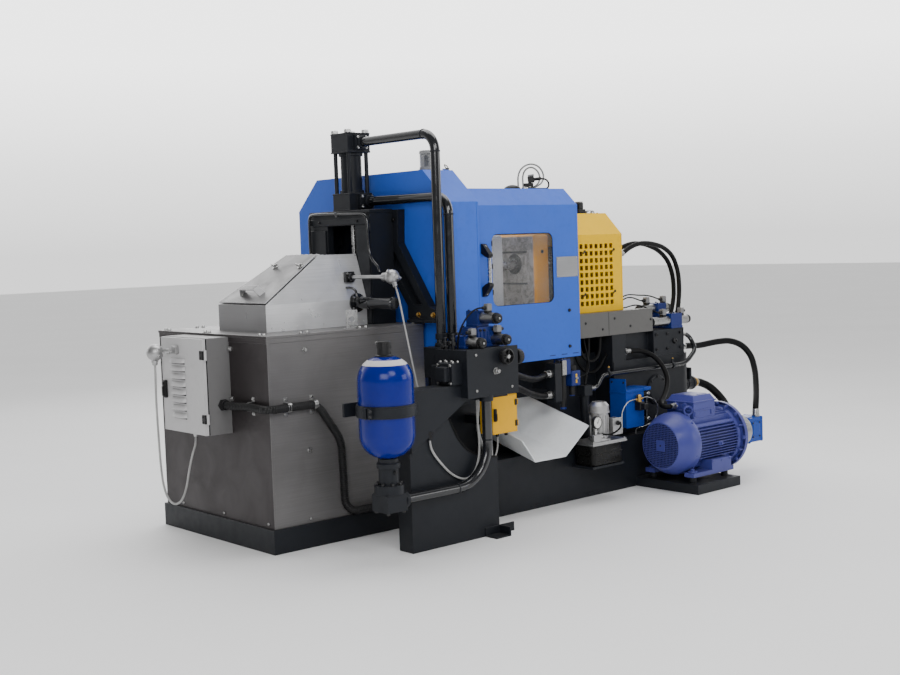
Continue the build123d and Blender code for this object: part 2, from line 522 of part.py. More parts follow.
# ---------------------------------------------------------- clamping unit ---
with BuildPart() as main_base:
    block(BASE_X0, BASE_X1, -BASE_HALF, BASE_HALF, 0, BASE_H)
    block(BASE_X0, TANK_X0, -BED_HALF, BED_HALF, BASE_H, BED_TOP)
    # drop opening for the castings, where the chute starts
    block(-126, 366, -BED_HALF, -205, BASE_H, BED_TOP, mode=Mode.SUBTRACT)
    # shelf of the lubrication unit
    block(345, 575, -742, -BASE_HALF, 168, 180)
    # return filter standing on the base
    with Locations((492, -562, BASE_H)):
        Cylinder(23, 508 - BASE_H, align=(Align.CENTER, Align.CENTER, Align.MIN))
    block(464, 520, -590, -534, 508, 560)
    # motor plate with its four posts
    block(830, 1180, -1001, -BASE_HALF, 0, 48)
    for px in (880, 1140):
        for py in (-930, -676):
            with Locations((px, py, 48)):
                Cylinder(18, 30, align=(Align.CENTER, Align.CENTER, Align.MIN))
main_base.part.label = "main_base"
export_step(main_base.part, "parts/main_base.step")

# plates along the bed, with the distributor block on the operator's side
with BuildPart() as side_plates:
    for s in (-1, 1):
        block(BASE_X0, TANK_X0, min(s * 400, s * 420), max(s * 400, s * 420), BED_TOP, 700 if s < 0 else 788)
    block(255, 300, -590, -530, 500, 690)
    block(262, 292, -530, -420, 560, 620)
side_plates.part.label = "side_plates"
export_step(side_plates.part, "parts/side_plates.step")

with BuildPart() as fixed_platen:
    with BuildSketch(Plane.XY.offset(BED_TOP)):
        with Locations(((FIX_X0 + FIX_X1) / 2, 0)):
            RectangleRounded(FIX_X1 - FIX_X0, 2 * PLATEN_HALF, PLATEN_EDGE)
    extrude(amount=PLATEN_TOP - BED_TOP)
    fillet(fixed_platen.edges().group_by(Axis.Z)[-1], radius=PLATEN_EDGE - 2)
    for by in (-BAR_Y, BAR_Y):
        for bz in (BAR_Z0, BAR_Z1):
            rod("X", ((FIX_X0 + FIX_X1) / 2, by, bz), BAR_R + FIT, 200, mode=Mode.SUBTRACT)
fixed_platen.part.label = "fixed_platen"
export_step(fixed_platen.part, "parts/fixed_platen.step")

with BuildPart() as moving_platen:
    with BuildSketch(Plane.XY.offset(560)):
        with Locations(((MOV_X0 + MOV_X1) / 2, 0)):
            RectangleRounded(MOV_X1 - MOV_X0, 2 * PLATEN_HALF - 12, PLATEN_EDGE)
    extrude(amount=PLATEN_TOP - 560)
    fillet(moving_platen.edges().group_by(Axis.Z)[-1], radius=PLATEN_EDGE - 2)
    for by in (-BAR_Y, BAR_Y):
        for bz in (BAR_Z0, BAR_Z1):
            rod("X", ((MOV_X0 + MOV_X1) / 2, by, bz), BAR_R + FIT, 200, mode=Mode.SUBTRACT)
moving_platen.part.label = "moving_platen"
export_step(moving_platen.part, "parts/moving_platen.step")

with BuildPart() as rear_platen:
    block(REAR_X0, REAR_X1, -330, 330, BED_TOP, 1260)
    for by in (-BAR_Y, BAR_Y):
        for bz in (BAR_Z0, BAR_Z1):
            rod("X", ((REAR_X0 + REAR_X1) / 2, by, bz), BAR_R + FIT, 200, mode=Mode.SUBTRACT)
    # clamping cylinder on its back, bored for the rod
    rod("X", (REAR_X1 + 88, 0, CLAMP_Z), 110, 176)
    rod("X", (REAR_X1 + 15, 0, CLAMP_Z), CLAMP_ROD_R + FIT, 310, mode=Mode.SUBTRACT)
rear_platen.part.label = "rear_platen"
export_step(rear_platen.part, "parts/rear_platen.step")

with BuildPart() as tie_bars:
    for by in (-BAR_Y, BAR_Y):
        for bz in (BAR_Z0, BAR_Z1):
            rod("X", (300, by, bz), BAR_R, 900)
tie_bars.part.label = "tie_bars"
export_step(tie_bars.part, "parts/tie_bars.step")

with BuildPart() as clamp_rod:
    rod("X", ((MOV_X1 + 860) / 2, 0, CLAMP_Z), CLAMP_ROD_R, 860 - MOV_X1)
clamp_rod.part.label = "clamp_rod"
export_step(clamp_rod.part, "parts/clamp_rod.step")

# ------------------------------------------------------------- valve stand ---
with BuildPart() as pedestal:
    # lower plate, cut away in a curve under the arm
    with BuildSketch(Plane.XZ.offset(-PED_Y1)):
        with BuildLine():
            Polyline((-892, 0), (-391, 0), (-391, 345), (-428, 352), (-499, 366), (-543, 384), (-580, 408), (-608, 438),
                     (-632, 472), (-652, 512), (-673, 560), (-673, 610), (-892, 610), close=True)
        make_face()
    extrude(amount=PED_Y1 - PED_Y0 - 14)
    # arm that carries the manifold
    with BuildSketch(Plane.XZ.offset(-PED_Y1)):
        with BuildLine():
            Polyline((-892, 425), (-583, 613), (-330, 613), (-330, MAN_Z0), (MAN_X0, MAN_Z0), (MAN_X0, 688),
                     (-892, 688), close=True)
        make_face()
    extrude(amount=PED_Y1 - PED_Y0)
    # cable gland under the arm
    rod("Z", (-786, -853, 488), 9, 36)
    # foot brackets
    block(-478, -391, PED_Y0 - 60, PED_Y0 + 14, 0, 40)
    block(-478, -397, PED_Y0 - 60, PED_Y0 + 8, 6, 40, mode=Mode.SUBTRACT)
    block(-391, -304, PED_Y0 + 10, PED_Y1 - 10, 0, 40)
    block(-391, -304, PED_Y0 + 16, PED_Y1 - 10, 6, 40, mode=Mode.SUBTRACT)
pedestal.part.label = "pedestal"
export_step(pedestal.part, "parts/pedestal.step")

# cable that hangs in front of the stand and goes up through its opening
SC_R = 5.0
sc_pts = [(-786, -854, 470), (-786, -854, 446), (-768, -855, 408), (-728, -855, 362), (-684, -855, 318), (-637, -855, 288),
          (-593, -855, 275), (-555, -855, 284), (-526, -855, 316), (-508, -854, 364), (-496, -846, 412), (-485, -830, 464),
          (-476, -815, 518), (-470, -808, 570), (-470, -808, 613)]
with BuildPart() as stand_cable:
    with BuildLine() as sc_path:
        FilletPolyline(*sc_pts, radius=cord_radii(sc_pts, "stand_cable"))
    with BuildSketch(Plane(origin=sc_pts[0], z_dir=Vector(*sc_pts[1]) - Vector(*sc_pts[0]))):
        Circle(SC_R)
    sweep()
stand_cable.part.label = "stand_cable"
print("stand_cable", round(sc_path.wire().length), stand_cable.part.volume
      / (math.pi * SC_R ** 2 * sc_path.wire().length))
export_step(stand_cable.part, "parts/stand_cable.step")

# cable from the control box to the stand's foot
BC_R = 4.0
bc_pts = [(-186, -632, 410), (-186, -632, 380), (-188, -634, 345), (-200, -636, 312), (-224, -640, 286), (-260, -652, 268),
          (-300, -684, 256), (-328, -724, 252), (-344, -762, 254), (-362, -786, 258), (-391, -786, 258)]
with BuildPart() as box_cable:
    with BuildLine() as bc_path:
        FilletPolyline(*bc_pts, radius=cord_radii(bc_pts, "box_cable"))
    with BuildSketch(Plane(origin=bc_pts[0], z_dir=Vector(*bc_pts[1]) - Vector(*bc_pts[0]))):
        Circle(BC_R)
    sweep()
box_cable.part.label = "box_cable"
print("box_cable", round(bc_path.wire().length), box_cable.part.volume
      / (math.pi * BC_R ** 2 * bc_path.wire().length))
export_step(box_cable.part, "parts/box_cable.step")

with BuildPart() as valve_manifold:
    block(MAN_X0, MAN_X1, MAN_Y0, MAN_Y1, MAN_Z0, MAN_Z1)
    block(-560, -412, MAN_Y1, -565, 700, MAN_Z1)
valve_manifold.part.label = "valve_manifold"
export_step(valve_manifold.part, "parts/valve_manifold.step")

with BuildPart() as valve_bodies:
    # on the valve stand
    block(-550, -490, -830, -745, MAN_Z1, 892)
    block(-470, -345, -830, -715, MAN_Z1, 925)
    block(-432, -368, -790, -715, 925, 995)
    # on the rear manifold
    block(1220, 1312, -538, -482, RMAN_TOP, 876)
    block(1228, 1300, -440, -365, RMAN_TOP, 930)
valve_bodies.part.label = "valve_bodies"
export_step(valve_bodies.part, "parts/valve_bodies.step")

with BuildPart() as solenoids:
    rod("Y", (-520, -865, 863), 25, 70)
    rod("Y", (-400, -833, 963), 25, 86)
    rod("Y", (-370, -865, 868), 25, 70)
    rod("X", (1152, -510, 838), 25, 136)
    rod("X", (1346, -510, 838), 25, 68)
    rod("X", (1174, -402, 902), 25, 108)
    rod("X", (1322, -402, 902), 25, 44)
solenoids.part.label = "solenoids"
export_step(solenoids.part, "parts/solenoids.step")

with BuildPart() as throttle_knob:
    rod("Y", (-402, MAN_Y0 - 30, 798), 36, 36)
throttle_knob.part.label = "throttle_knob"
export_step(throttle_knob.part, "parts/throttle_knob.step")

with BuildPart() as accumulator:
    with BuildSketch(Plane.XZ):
        with BuildLine():
            Polyline((0, ACC_Z0), (ACC_R, ACC_Z0), (ACC_R, ACC_Z1), (0, ACC_Z1), close=True)
        make_face()
        fillet([v for v in vertices() if v.X > 1], radius=100)
    revolve(axis=Axis.Z)
    with Locations((0, 0, ACC_Z1 - 10)):
        Cylinder(27, 908 - ACC_Z1 + 10, align=(Align.CENTER, Align.CENTER, Align.MIN))
accumulator.part.label = "accumulator"
accumulator.part.locate(Location((ACC_X, ACC_Y, 0)))
export_step(accumulator.part, "parts/accumulator.step")

with BuildPart() as accumulator_clamp:
    with Locations((ACC_X, ACC_Y, 603)):
        Cylinder(ACC_R + 8, 50, align=(Align.CENTER, Align.CENTER, Align.MIN))
    block(-1147, -892, -744, -732, 600, 656)
    block(-1060, -980, -790, -732, 603, 653)
    block(-904, -892, -858, -744, 603, 653)
    with Locations((ACC_X, ACC_Y, 590)):
        Cylinder(ACC_R + 0.3, 80, align=(Align.CENTER, Align.CENTER, Align.MIN), mode=Mode.SUBTRACT)
accumulator_clamp.part.label = "accumulator_clamp"
export_step(accumulator_clamp.part, "parts/accumulator_clamp.step")

with BuildPart() as accumulator_block:
    with Locations((ACC_X, ACC_Y, 281)):
        Cylinder(42, ACC_Z0 - 281, align=(Align.CENTER, Align.CENTER, Align.MIN))
        Cylinder(62, 38, align=(Align.CENTER, Align.CENTER, Align.MIN))
    block(ACC_X - 52, ACC_X + 52, ACC_Y - 52, ACC_Y + 52, 208, 281)
accumulator_block.part.label = "accumulator_block"
export_step(accumulator_block.part, "parts/accumulator_block.step")

with BuildPart() as control_box:
    block(BOX_X0, BOX_X1, BOX_Y0, BOX_Y1, BOX_Z0, BOX_Z1)
    block(BOX_X0 + 4, BOX_X1 - 4, BOX_Y0, BOX_Y1 - 4, BOX_Z0 + 4, BOX_Z1 - 4, mode=Mode.SUBTRACT)
    block(-200, -150, BOX_Y1, -BED_HALF, 440, 480)
control_box.part.label = "control_box"
export_step(control_box.part, "parts/control_box.step")

with BuildPart() as control_box_door:
    block(BOX_X0, BOX_X1, BOX_Y0 - 17, BOX_Y0 - 5, BOX_Z0, BOX_Z1)
    for hz in (450.0, 548.0):
        rod("Z", (BOX_X1 + 6, BOX_Y0 - 12, hz), 5, 24)
        block(BOX_X1 - 6, BOX_X1 + 6, BOX_Y0 - 15, BOX_Y0 - 9, hz - 12, hz + 12)
control_box_door.part.label = "control_box_door"
export_step(control_box_door.part, "parts/control_box_door.step")

# casting chute, a bent sheet that slopes down to the operator
CHUTE_FALL = 0.28
with BuildPart() as chute:
    with BuildSketch(Plane.XZ.offset(718)):
        with BuildLine():
            Polyline((-112, 366), (-28, 255), (181, 254), (348, 382), (345, 386), (179, 259), (-25, 260),
                     (-108, 369), close=True)
        make_face()
    extrude(amount=-503 * math.hypot(1, CHUTE_FALL), dir=(0, -1, -CHUTE_FALL))
chute.part.label = "chute"
export_step(chute.part, "parts/chute.step")

# -------------------------------------------------------------- power pack ---
with BuildPart() as lube_reservoir:
    block(345, 575, -748, -612, 180, 288)
lube_reservoir.part.label = "lube_reservoir"
export_step(lube_reservoir.part, "parts/lube_reservoir.step")

with BuildPart() as lube_pump:
    block(338, 582, -754, -606, 288, 300)
    block(496, 560, -745, -690, 326, 402)
    with Locations((455, -690, 300)):
        Cylinder(44, 136, align=(Align.CENTER, Align.CENTER, Align.MIN))
    with Locations((455, -690, 436)):
        Cylinder(50, 36, align=(Align.CENTER, Align.CENTER, Align.MIN))
    with Locations((455, -690, 472)):
        Cone(50, 34, 18, align=(Align.CENTER, Align.CENTER, Align.MIN))
lube_pump.part.label = "lube_pump"
export_step(lube_pump.part, "parts/lube_pump.step")

with BuildPart() as oil_box:
    block(707, 842, -648, -540, 323, 505)
    block(707, 900, -652, -540, 505, 517)
    block(707, 711, -648, -540, 517, 573)
    # dosing valve on the front
    block(772, 806, -682, -648, 412, 450)
    rod("Z", (789, -665, 463), 9, 26)
oil_box.part.label = "oil_box"
export_step(oil_box.part, "parts/oil_box.step")

# thin lubrication lines
LINES = [
    [(779, -665, 464), (745, -666, 466), (706, -667, 462), (672, -668, 440), (648, -672, 414), (624, -690, 386), (594, -716, 366),
     (560, -716, 366)],
    [(799.5, -665, 464), (842, -664, 472), (898, -662, 458), (942, -658, 424), (956, -650, 378), (934, -636, 330),
     (896, -606, 306), (858, -580, 298), (858, -580, 270)],
]
with BuildPart() as lube_lines:
    for n, pts in enumerate(LINES):
        with BuildLine():
            FilletPolyline(*pts, radius=cord_radii(pts, "lube line"))
        with BuildSketch(Plane(origin=pts[0], z_dir=Vector(*pts[1]) - Vector(*pts[0]))):
            Circle(3)
        sweep()
lube_lines.part.label = "lube_lines"
export_step(lube_lines.part, "parts/lube_lines.step")

# air service unit under the door, hung from the guide beam
with BuildPart() as air_unit:
    block(322, 458, -522, -516, 560, GUIDE_Z0)
    block(328, 384, -572, -522, 626, 704)
    block(390, 450, -575, -522, 566, 640)
    rod("Z", (350, -548, 540), 16, 172)
    rod("Z", (416, -548, 540), 14, 52)
air_unit.part.label = "air_unit"
export_step(air_unit.part, "parts/air_unit.step")

# two looped air tubes standing on a bracket on the rear guard's roof
LOOP_C, LOOP_R = Vector(366, -350, 1621), 4.5
LOOP_U, LOOP_W = Vector(0.753, -0.658, 0), Vector(0.658, 0.753, 0)
outer_uz = [(-65, -65, 0), (-65, -38, 0), (-66, -4, 0), (-55, 31, 0), (-29, 54, 0), (3, 62, 0), (36, 52, 0), (58, 25, 0),
            (66, -6, 0), (56, -34, -2), (34, -51, -5), (8, -58, -8), (-16, -60, -9)]
inner_uz = [(-40, -65, 6), (-40, -38, 6), (-42, -6, 6), (-34, 25, 6), (-12, 44, 6), (14, 44, 6), (38, 22, 6), (47, -7, 7), (40, -34, 9),
            (24, -50, 12), (6, -57, 15), (-8, -58, 16)]
outer_pts = [tuple(LOOP_C + LOOP_U * u + Vector(0, 0, z) + LOOP_W * w) for u, z, w in outer_uz]
inner_pts = [tuple(LOOP_C + LOOP_U * u + Vector(0, 0, z) + LOOP_W * w) for u, z, w in inner_uz]
with BuildPart() as cable_bracket:
    block(300, 600, -365, -335, YEL_TOP, YEL_TOP + 10)
    block(300, 310, -365, -335, YEL_TOP, 1556)
    block(296, 440, -400, -290, 1548, 1556)
    # push-in fittings where the tubes end
    for pts in (outer_pts, inner_pts):
        with BuildSketch(Plane(origin=pts[-1], z_dir=Vector(*pts[-1]) - Vector(*pts[-2]))):
            Circle(7.5)
        extrude(amount=22)
cable_bracket.part.label = "cable_bracket"
export_step(cable_bracket.part, "parts/cable_bracket.step")

with BuildPart() as air_tube_outer:
    with BuildLine() as ato_path:
        FilletPolyline(*outer_pts, radius=cord_radii(outer_pts, "air_tube_outer"))
    with BuildSketch(Plane(origin=outer_pts[0], z_dir=Vector(*outer_pts[1]) - Vector(*outer_pts[0]))):
        Circle(LOOP_R)
    sweep()
air_tube_outer.part.label = "air_tube_outer"
print("air_tube_outer", round(ato_path.wire().length), air_tube_outer.part.volume / (math.pi * LOOP_R ** 2 * ato_path.wire().length))
export_step(air_tube_outer.part, "parts/air_tube_outer.step")

with BuildPart() as air_tube_inner:
    with BuildLine() as ati_path:
        FilletPolyline(*inner_pts, radius=cord_radii(inner_pts, "air_tube_inner"))
    with BuildSketch(Plane(origin=inner_pts[0], z_dir=Vector(*inner_pts[1]) - Vector(*inner_pts[0]))):
        Circle(LOOP_R)
    sweep()
air_tube_inner.part.label = "air_tube_inner"
print("air_tube_inner", round(ati_path.wire().length), air_tube_inner.part.volume / (math.pi * LOOP_R ** 2 * ati_path.wire().length))
export_step(air_tube_inner.part, "parts/air_tube_inner.step")

with BuildPart() as hydraulic_tank:
    block(TANK_X0, TANK_X1, -TANK_HALF, TANK_HALF, BASE_H, TANK_TOP)
    fillet(hydraulic_tank.edges().filter_by(Axis.Z).group_by(Axis.X)[-1], radius=TANK_CORNER_R)
    # posts under the guide beams
    for s in (-1, 1):
        block(TANK_X0, 840, min(s * 440, s * 540), max(s * 440, s * 540), TANK_TOP, GUIDE_Z0)
    # closed housing between the posts, up to just under the beams
    block(765, 1066, -500, 500, TANK_TOP, GUIDE_Z0 - 4)
    # manifold on the tank
    block(1066, 1317, -540, -480, TANK_TOP, RMAN_TOP)
    block(1066, 1380, -480, -330, TANK_TOP, RMAN_TOP)
    # suction filter on the end
    rod("X", (1445, -450, 470), 36, 110)
hydraulic_tank.part.label = "hydraulic_tank"
export_step(hydraulic_tank.part, "parts/hydraulic_tank.step")

# pressure, suction and conduit hoses, each fitted at both ends
HOSES = [
    ([(888, -405, 1222), (928, -405, 1222), (990, -405, 1248), (1070, -405, 1264), (1170, -405, 1258), (1285, -405, 1222),
      (1368, -405, 1160), (1408, -405, 1070), (1412, -405, 970), (1392, -405, 890), (1365, -405, 838), (1365, -405, 795)], 12.5),
    ([(888, -455, 1212), (928, -455, 1212), (985, -455, 1242), (1060, -455, 1262), (1150, -455, 1262), (1262, -455, 1240),
      (1348, -455, 1188), (1392, -455, 1096), (1398, -455, 990), (1384, -455, 900), (1365, -455, 842), (1365, -455, 795)], 12.5),
    ([(1317, -510, 688), (1395, -510, 688), (1478, -524, 682), (1558, -558, 696), (1645, -601, 702), (1708, -643, 674),
      (1728, -690, 612), (1704, -732, 528), (1648, -776, 442), (1588, -816, 384), (1560, -832, 340), (1560, -832, 300)], 17),
    ([(840, -525, 700), (885, -525, 700), (962, -545, 698), (1028, -575, 664), (1062, -606, 606), (1058, -638, 545),
      (1014, -664, 492), (962, -686, 460), (912, -706, 436), (886, -736, 424), (892, -764, 421), (916, -776, 421),
      (950, -776, 421)], 13),
    ([(-312, -735, 712), (-262, -735, 712), (-180, -722, 696), (-92, -692, 670), (0, -657, 645), (85, -622, 632),
      (160, -586, 633), (213, -560, 640), (255, -560, 640)], 15),
    ([(-312, -735, 660), (-262, -735, 660), (-180, -722, 642), (-95, -692, 612), (0, -660, 577), (85, -628, 554),
      (160, -590, 540), (213, -560, 536), (255, -560, 536)], 15),
    ([(1500, -450, 470), (1550, -450, 470), (1612, -484, 440), (1632, -556, 372), (1590, -640, 296), (1535, -704, 240),
      (1535, -746, 240)], 22),
]
with BuildPart() as hydraulic_hoses:
    for pts, r in HOSES:
        with BuildLine():
            FilletPolyline(*pts, radius=cord_radii(pts, "hose"))
        with BuildSketch(Plane(origin=pts[0], z_dir=Vector(*pts[1]) - Vector(*pts[0]))):
            Circle(r)
        sweep()
hydraulic_hoses.part.label = "hydraulic_hoses"
export_step(hydraulic_hoses.part, "parts/hydraulic_hoses.step")

with BuildPart() as motor_body:
    rod("X", ((COWL_X1 + FRAME_X1) / 2, MOT_Y, MOT_Z), FRAME_R, FRAME_X1 - COWL_X1)
    rod("X", ((FRAME_X1 + FLANGE_X1) / 2, MOT_Y, MOT_Z), FLANGE_R, FLANGE_X1 - FRAME_X1)
    # feet
    block(1000, 1160, -960, -646, 78, 150)
    block(850, 1180, -960, -900, 78, 100)
    block(850, 1180, -706, -646, 78, 100)
    # terminal box with a sloping rim
    block(950, 1126, -888, -718, MOT_Z + FRAME_R - 40, 446)
    with BuildSketch(Plane.XY.offset(446)):
        with Locations((1038, MOT_Y)):
            Rectangle(176, 170)
    extrude(amount=30, taper=30)
motor_body.part.label = "motor_body"
export_step(motor_body.part, "parts/motor_body.step")

with BuildPart() as motor_cowl:
    rod("X", ((COWL_X0 + COWL_X1) / 2, MOT_Y, MOT_Z), COWL_R, COWL_X1 - COWL_X0)
    fillet(motor_cowl.edges().filter_by(GeomType.CIRCLE).sort_by(Axis.X)[0], radius=30)
motor_cowl.part.label = "motor_cowl"
export_step(motor_cowl.part, "parts/motor_cowl.step")

with BuildPart() as hydraulic_pump:
    # bell housing
    rod("X", (1296, MOT_Y, MOT_Z), 125, 20)
    rod("X", (1360, MOT_Y, MOT_Z), 95, 120)
    rod("X", (1434, MOT_Y, MOT_Z), 84, 32)
    # gear pump
    block(1450, 1580, -860, -746, 170, 300)
hydraulic_pump.part.label = "hydraulic_pump"
export_step(hydraulic_pump.part, "parts/hydraulic_pump.step")
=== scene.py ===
import math

import bmesh
import bpy
from mathutils import Matrix, Vector
from mathutils.geometry import tessellate_polygon


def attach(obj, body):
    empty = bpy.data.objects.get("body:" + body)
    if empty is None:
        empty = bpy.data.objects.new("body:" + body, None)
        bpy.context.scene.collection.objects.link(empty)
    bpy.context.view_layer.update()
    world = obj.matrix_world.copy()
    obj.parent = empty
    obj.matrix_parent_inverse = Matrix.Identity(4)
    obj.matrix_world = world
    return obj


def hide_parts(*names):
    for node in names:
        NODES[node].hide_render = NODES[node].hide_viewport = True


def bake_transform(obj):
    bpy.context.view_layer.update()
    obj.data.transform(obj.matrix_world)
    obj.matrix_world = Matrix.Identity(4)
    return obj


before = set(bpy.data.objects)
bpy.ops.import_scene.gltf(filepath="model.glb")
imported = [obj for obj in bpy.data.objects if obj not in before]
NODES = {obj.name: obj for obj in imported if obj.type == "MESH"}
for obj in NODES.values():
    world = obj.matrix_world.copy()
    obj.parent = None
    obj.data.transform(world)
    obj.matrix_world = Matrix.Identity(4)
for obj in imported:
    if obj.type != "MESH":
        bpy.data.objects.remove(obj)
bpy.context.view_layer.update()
MM = 0.001
SC = bpy.context.scene

# ------------------------------------------------------------------ camera ---
CAM = Vector((-4.249, -4.963, 1.300))
YAW, PITCH, ROLL = math.radians(48.813), math.radians(4.227), math.radians(-1.9525)
fwd = Vector((math.cos(PITCH) * math.cos(YAW), math.cos(PITCH) * math.sin(YAW), -math.sin(PITCH)))
rgt = Vector((math.sin(YAW), -math.cos(YAW), 0))
upv = rgt.cross(fwd)
c_r = rgt * math.cos(ROLL) + upv * math.sin(ROLL)
c_u = upv * math.cos(ROLL) - rgt * math.sin(ROLL)
cam_data = bpy.data.cameras.new("photo_camera")
cam_data.sensor_width = 36.0
cam_data.sensor_fit = "HORIZONTAL"
cam_data.lens = 51.27
cam_data.clip_end = 200
cam = bpy.data.objects.new("photo_camera", cam_data)
SC.collection.objects.link(cam)
cam.matrix_world = Matrix((
    (c_r.x, c_u.x, -fwd.x, CAM.x),
    (c_r.y, c_u.y, -fwd.y, CAM.y),
    (c_r.z, c_u.z, -fwd.z, CAM.z),
    (0, 0, 0, 1),
))
SC.camera = cam


# --------------------------------------------------------------- materials ---
class Mat:
    """A node material under construction."""

    def __init__(self, name):
        self.mat = bpy.data.materials.new(name)
        self.mat.use_nodes = True
        self.n = self.mat.node_tree.nodes
        self.l = self.mat.node_tree.links
        self.b = self.n["Principled BSDF"]
        tc = self.n.new("ShaderNodeTexCoord")
        self.co = tc.outputs["Object"]
        self.own_normal = tc.outputs["Normal"]
        self.geo = self.n.new("ShaderNodeNewGeometry")

    def link(self, a, b):
        self.l.new(a, b)

    def noise(self, scale, detail=4.0, rough=0.55, stretch=None, warp=0.0):
        t = self.n.new("ShaderNodeTexNoise")
        t.inputs["Scale"].default_value = scale
        t.inputs["Detail"].default_value = detail
        t.inputs["Roughness"].default_value = rough
        t.inputs["Distortion"].default_value = warp
        if stretch:
            m = self.n.new("ShaderNodeMapping")
            m.inputs["Scale"].default_value = stretch
            self.link(self.co, m.inputs["Vector"])
            self.link(m.outputs["Vector"], t.inputs["Vector"])
        else:
            self.link(self.co, t.inputs["Vector"])
        return t.outputs["Fac"]

    def span(self, value, a, b, lo=0.0, hi=1.0):
        m = self.n.new("ShaderNodeMapRange")
        m.clamp = True
        m.inputs["From Min"].default_value = a
        m.inputs["From Max"].default_value = b
        m.inputs["To Min"].default_value = lo
        m.inputs["To Max"].default_value = hi
        self.link(value, m.inputs["Value"])
        return m.outputs["Result"]

    def calc(self, op, a, b):
        m = self.n.new("ShaderNodeMath")
        m.operation = op
        m.use_clamp = op in ("MULTIPLY", "ADD")
        for i, x in enumerate((a, b)):
            if hasattr(x, "is_output"):
                self.link(x, m.inputs[i])
            else:
                m.inputs[i].default_value = x
        return m.outputs[0]

    def mix(self, fac, a, b):
        m = self.n.new("ShaderNodeMix")
        m.data_type = "RGBA"
        self.link(fac, m.inputs["Factor"])
        for s, x in ((m.inputs[6], a), (m.inputs[7], b)):
            if hasattr(x, "is_output"):
                self.link(x, s)
            else:
                s.default_value = (*x, 1.0)
        return m.outputs[2]

    def edges(self, radius=0.003):
        """A rounded normal, and how far it leaves the flat one: 1 on a sharp edge."""
        v = self.n.new("ShaderNodeBevel")
        v.samples = 4
        v.inputs["Radius"].default_value = radius
        d = self.n.new("ShaderNodeVectorMath")
        d.operation = "DOT_PRODUCT"
        self.link(v.outputs["Normal"], d.inputs[0])
        self.link(self.geo.outputs["Normal"], d.inputs[1])
        return v.outputs["Normal"], self.span(d.outputs["Value"], 0.995, 0.80)

    def up(self):
        s = self.n.new("ShaderNodeSeparateXYZ")
        self.link(self.geo.outputs["Normal"], s.inputs[0])
        return s.outputs["Z"]

    def bump(self, height, strength, distance, normal=None):
        p = self.n.new("ShaderNodeBump")
        p.inputs["Strength"].default_value = strength
        p.inputs["Distance"].default_value = distance
        self.link(height, p.inputs["Height"])
        if normal is not None:
            self.link(normal, p.inputs["Normal"])
        self.link(p.outputs["Normal"], self.b.inputs["Normal"])

    def colour(self, out):
        self.link(out, self.b.inputs["Base Color"])

    def rough(self, out):
        self.link(out, self.b.inputs["Roughness"])


MAT = {}


def shade(c, k):
    return tuple(max(0.0, min(1.0, x * k)) for x in c)


def paint(name, col, rough=0.42, tone=0.12, wear=0.5, wear_col=(0.22, 0.22, 0.22), dust=0.18,
          dust_col=(0.30, 0.28, 0.25), peel=0.12, coat=0.0, grain=650.0, spec=0.4):
    """Sprayed paint: tone drift, fine peel, rubbed edges and a little dust on what faces up."""
    m = Mat(name)
    drift = m.span(m.noise(1.7, 5), 0.3, 0.7)
    c = m.mix(drift, shade(col, 1 - tone), shade(col, 1 + tone))
    c = m.mix(m.span(m.noise(38, 6), 0.52, 0.75, 0, 0.35), c, shade(col, 0.82))
    dirt = m.calc("MULTIPLY", m.span(m.up(), 0.55, 1.0), m.span(m.noise(9, 7), 0.35, 0.75, 0, dust))
    c = m.mix(dirt, c, dust_col)
    nrm, edge = m.edges()
    rub = m.calc("MULTIPLY", edge, m.span(m.noise(85, 5), 0.50, 0.68, 0, wear))
    c = m.mix(rub, c, wear_col)
    m.colour(c)
    m.rough(m.span(m.noise(24, 5), 0.3, 0.75, rough - 0.07, rough + 0.10))
    m.bump(m.noise(grain, 2), peel, 0.0006, nrm)
    m.b.inputs["Specular IOR Level"].default_value = spec
    if coat:
        m.b.inputs["Coat Weight"].default_value = coat
        m.b.inputs["Coat Roughness"].default_value = 0.12
    MAT[name] = m.mat


def brushed(name, col, rough=0.36, tone=0.10, line=0.10, metal=1.0, stain=0.25, stain_col=(0.20, 0.17, 0.14), fine=330.0,
            front=None, slope=None):
    """Rolled and brushed sheet: long fine lines, clouded by handling marks; front and slope paint shade onto the faces
    that look toward -X and the faces that look up.
    """
    m = Mat(name)
    side = m.noise(1.0, 3, stretch=(4, 4, fine))
    top = m.noise(1.0, 3, stretch=(4, fine, 4))
    flat = m.span(m.up(), 0.55, 0.85)
    g = m.n.new("ShaderNodeMix")
    m.link(flat, g.inputs[0])
    m.link(side, g.inputs[2])
    m.link(top, g.inputs[3])
    lines = g.outputs[0]
    c = m.mix(m.span(lines, 0.3, 0.7), shade(col, 1 - line), shade(col, 1 + line))
    c = m.mix(m.span(m.noise(1.5, 6, warp=0.6), 0.35, 0.7), c, shade(col, 1 - 2 * tone))
    c = m.mix(m.span(m.noise(5.5, 7, warp=1.2), 0.52, 0.80, 0, stain), c, stain_col)
    # painted shade: front darkens the faces that look toward -X, slope darkens the faces that look up
    if front or slope:
        s = m.n.new("ShaderNodeSeparateXYZ")
        m.link(m.own_normal, s.inputs[0])
        if front:
            c = m.mix(m.span(s.outputs["X"], -0.80, -0.95, 0, front[0]), c, front[1])
        if slope:
            c = m.mix(m.span(s.outputs["Z"], 0.45, 0.70, 0, slope[0]), c, slope[1])
    nrm, edge = m.edges(0.0025)
    c = m.mix(m.span(edge, 0.1, 0.9, 0, 0.55), c, shade(col, 1.45))
    m.colour(c)
    m.b.inputs["Metallic"].default_value = metal
    smear = m.span(m.noise(7, 6, warp=0.8), 0.3, 0.72, rough - 0.08, rough + 0.14)
    m.rough(smear)
    m.bump(lines, 0.10, 0.0005, nrm)
    MAT[name] = m.mat


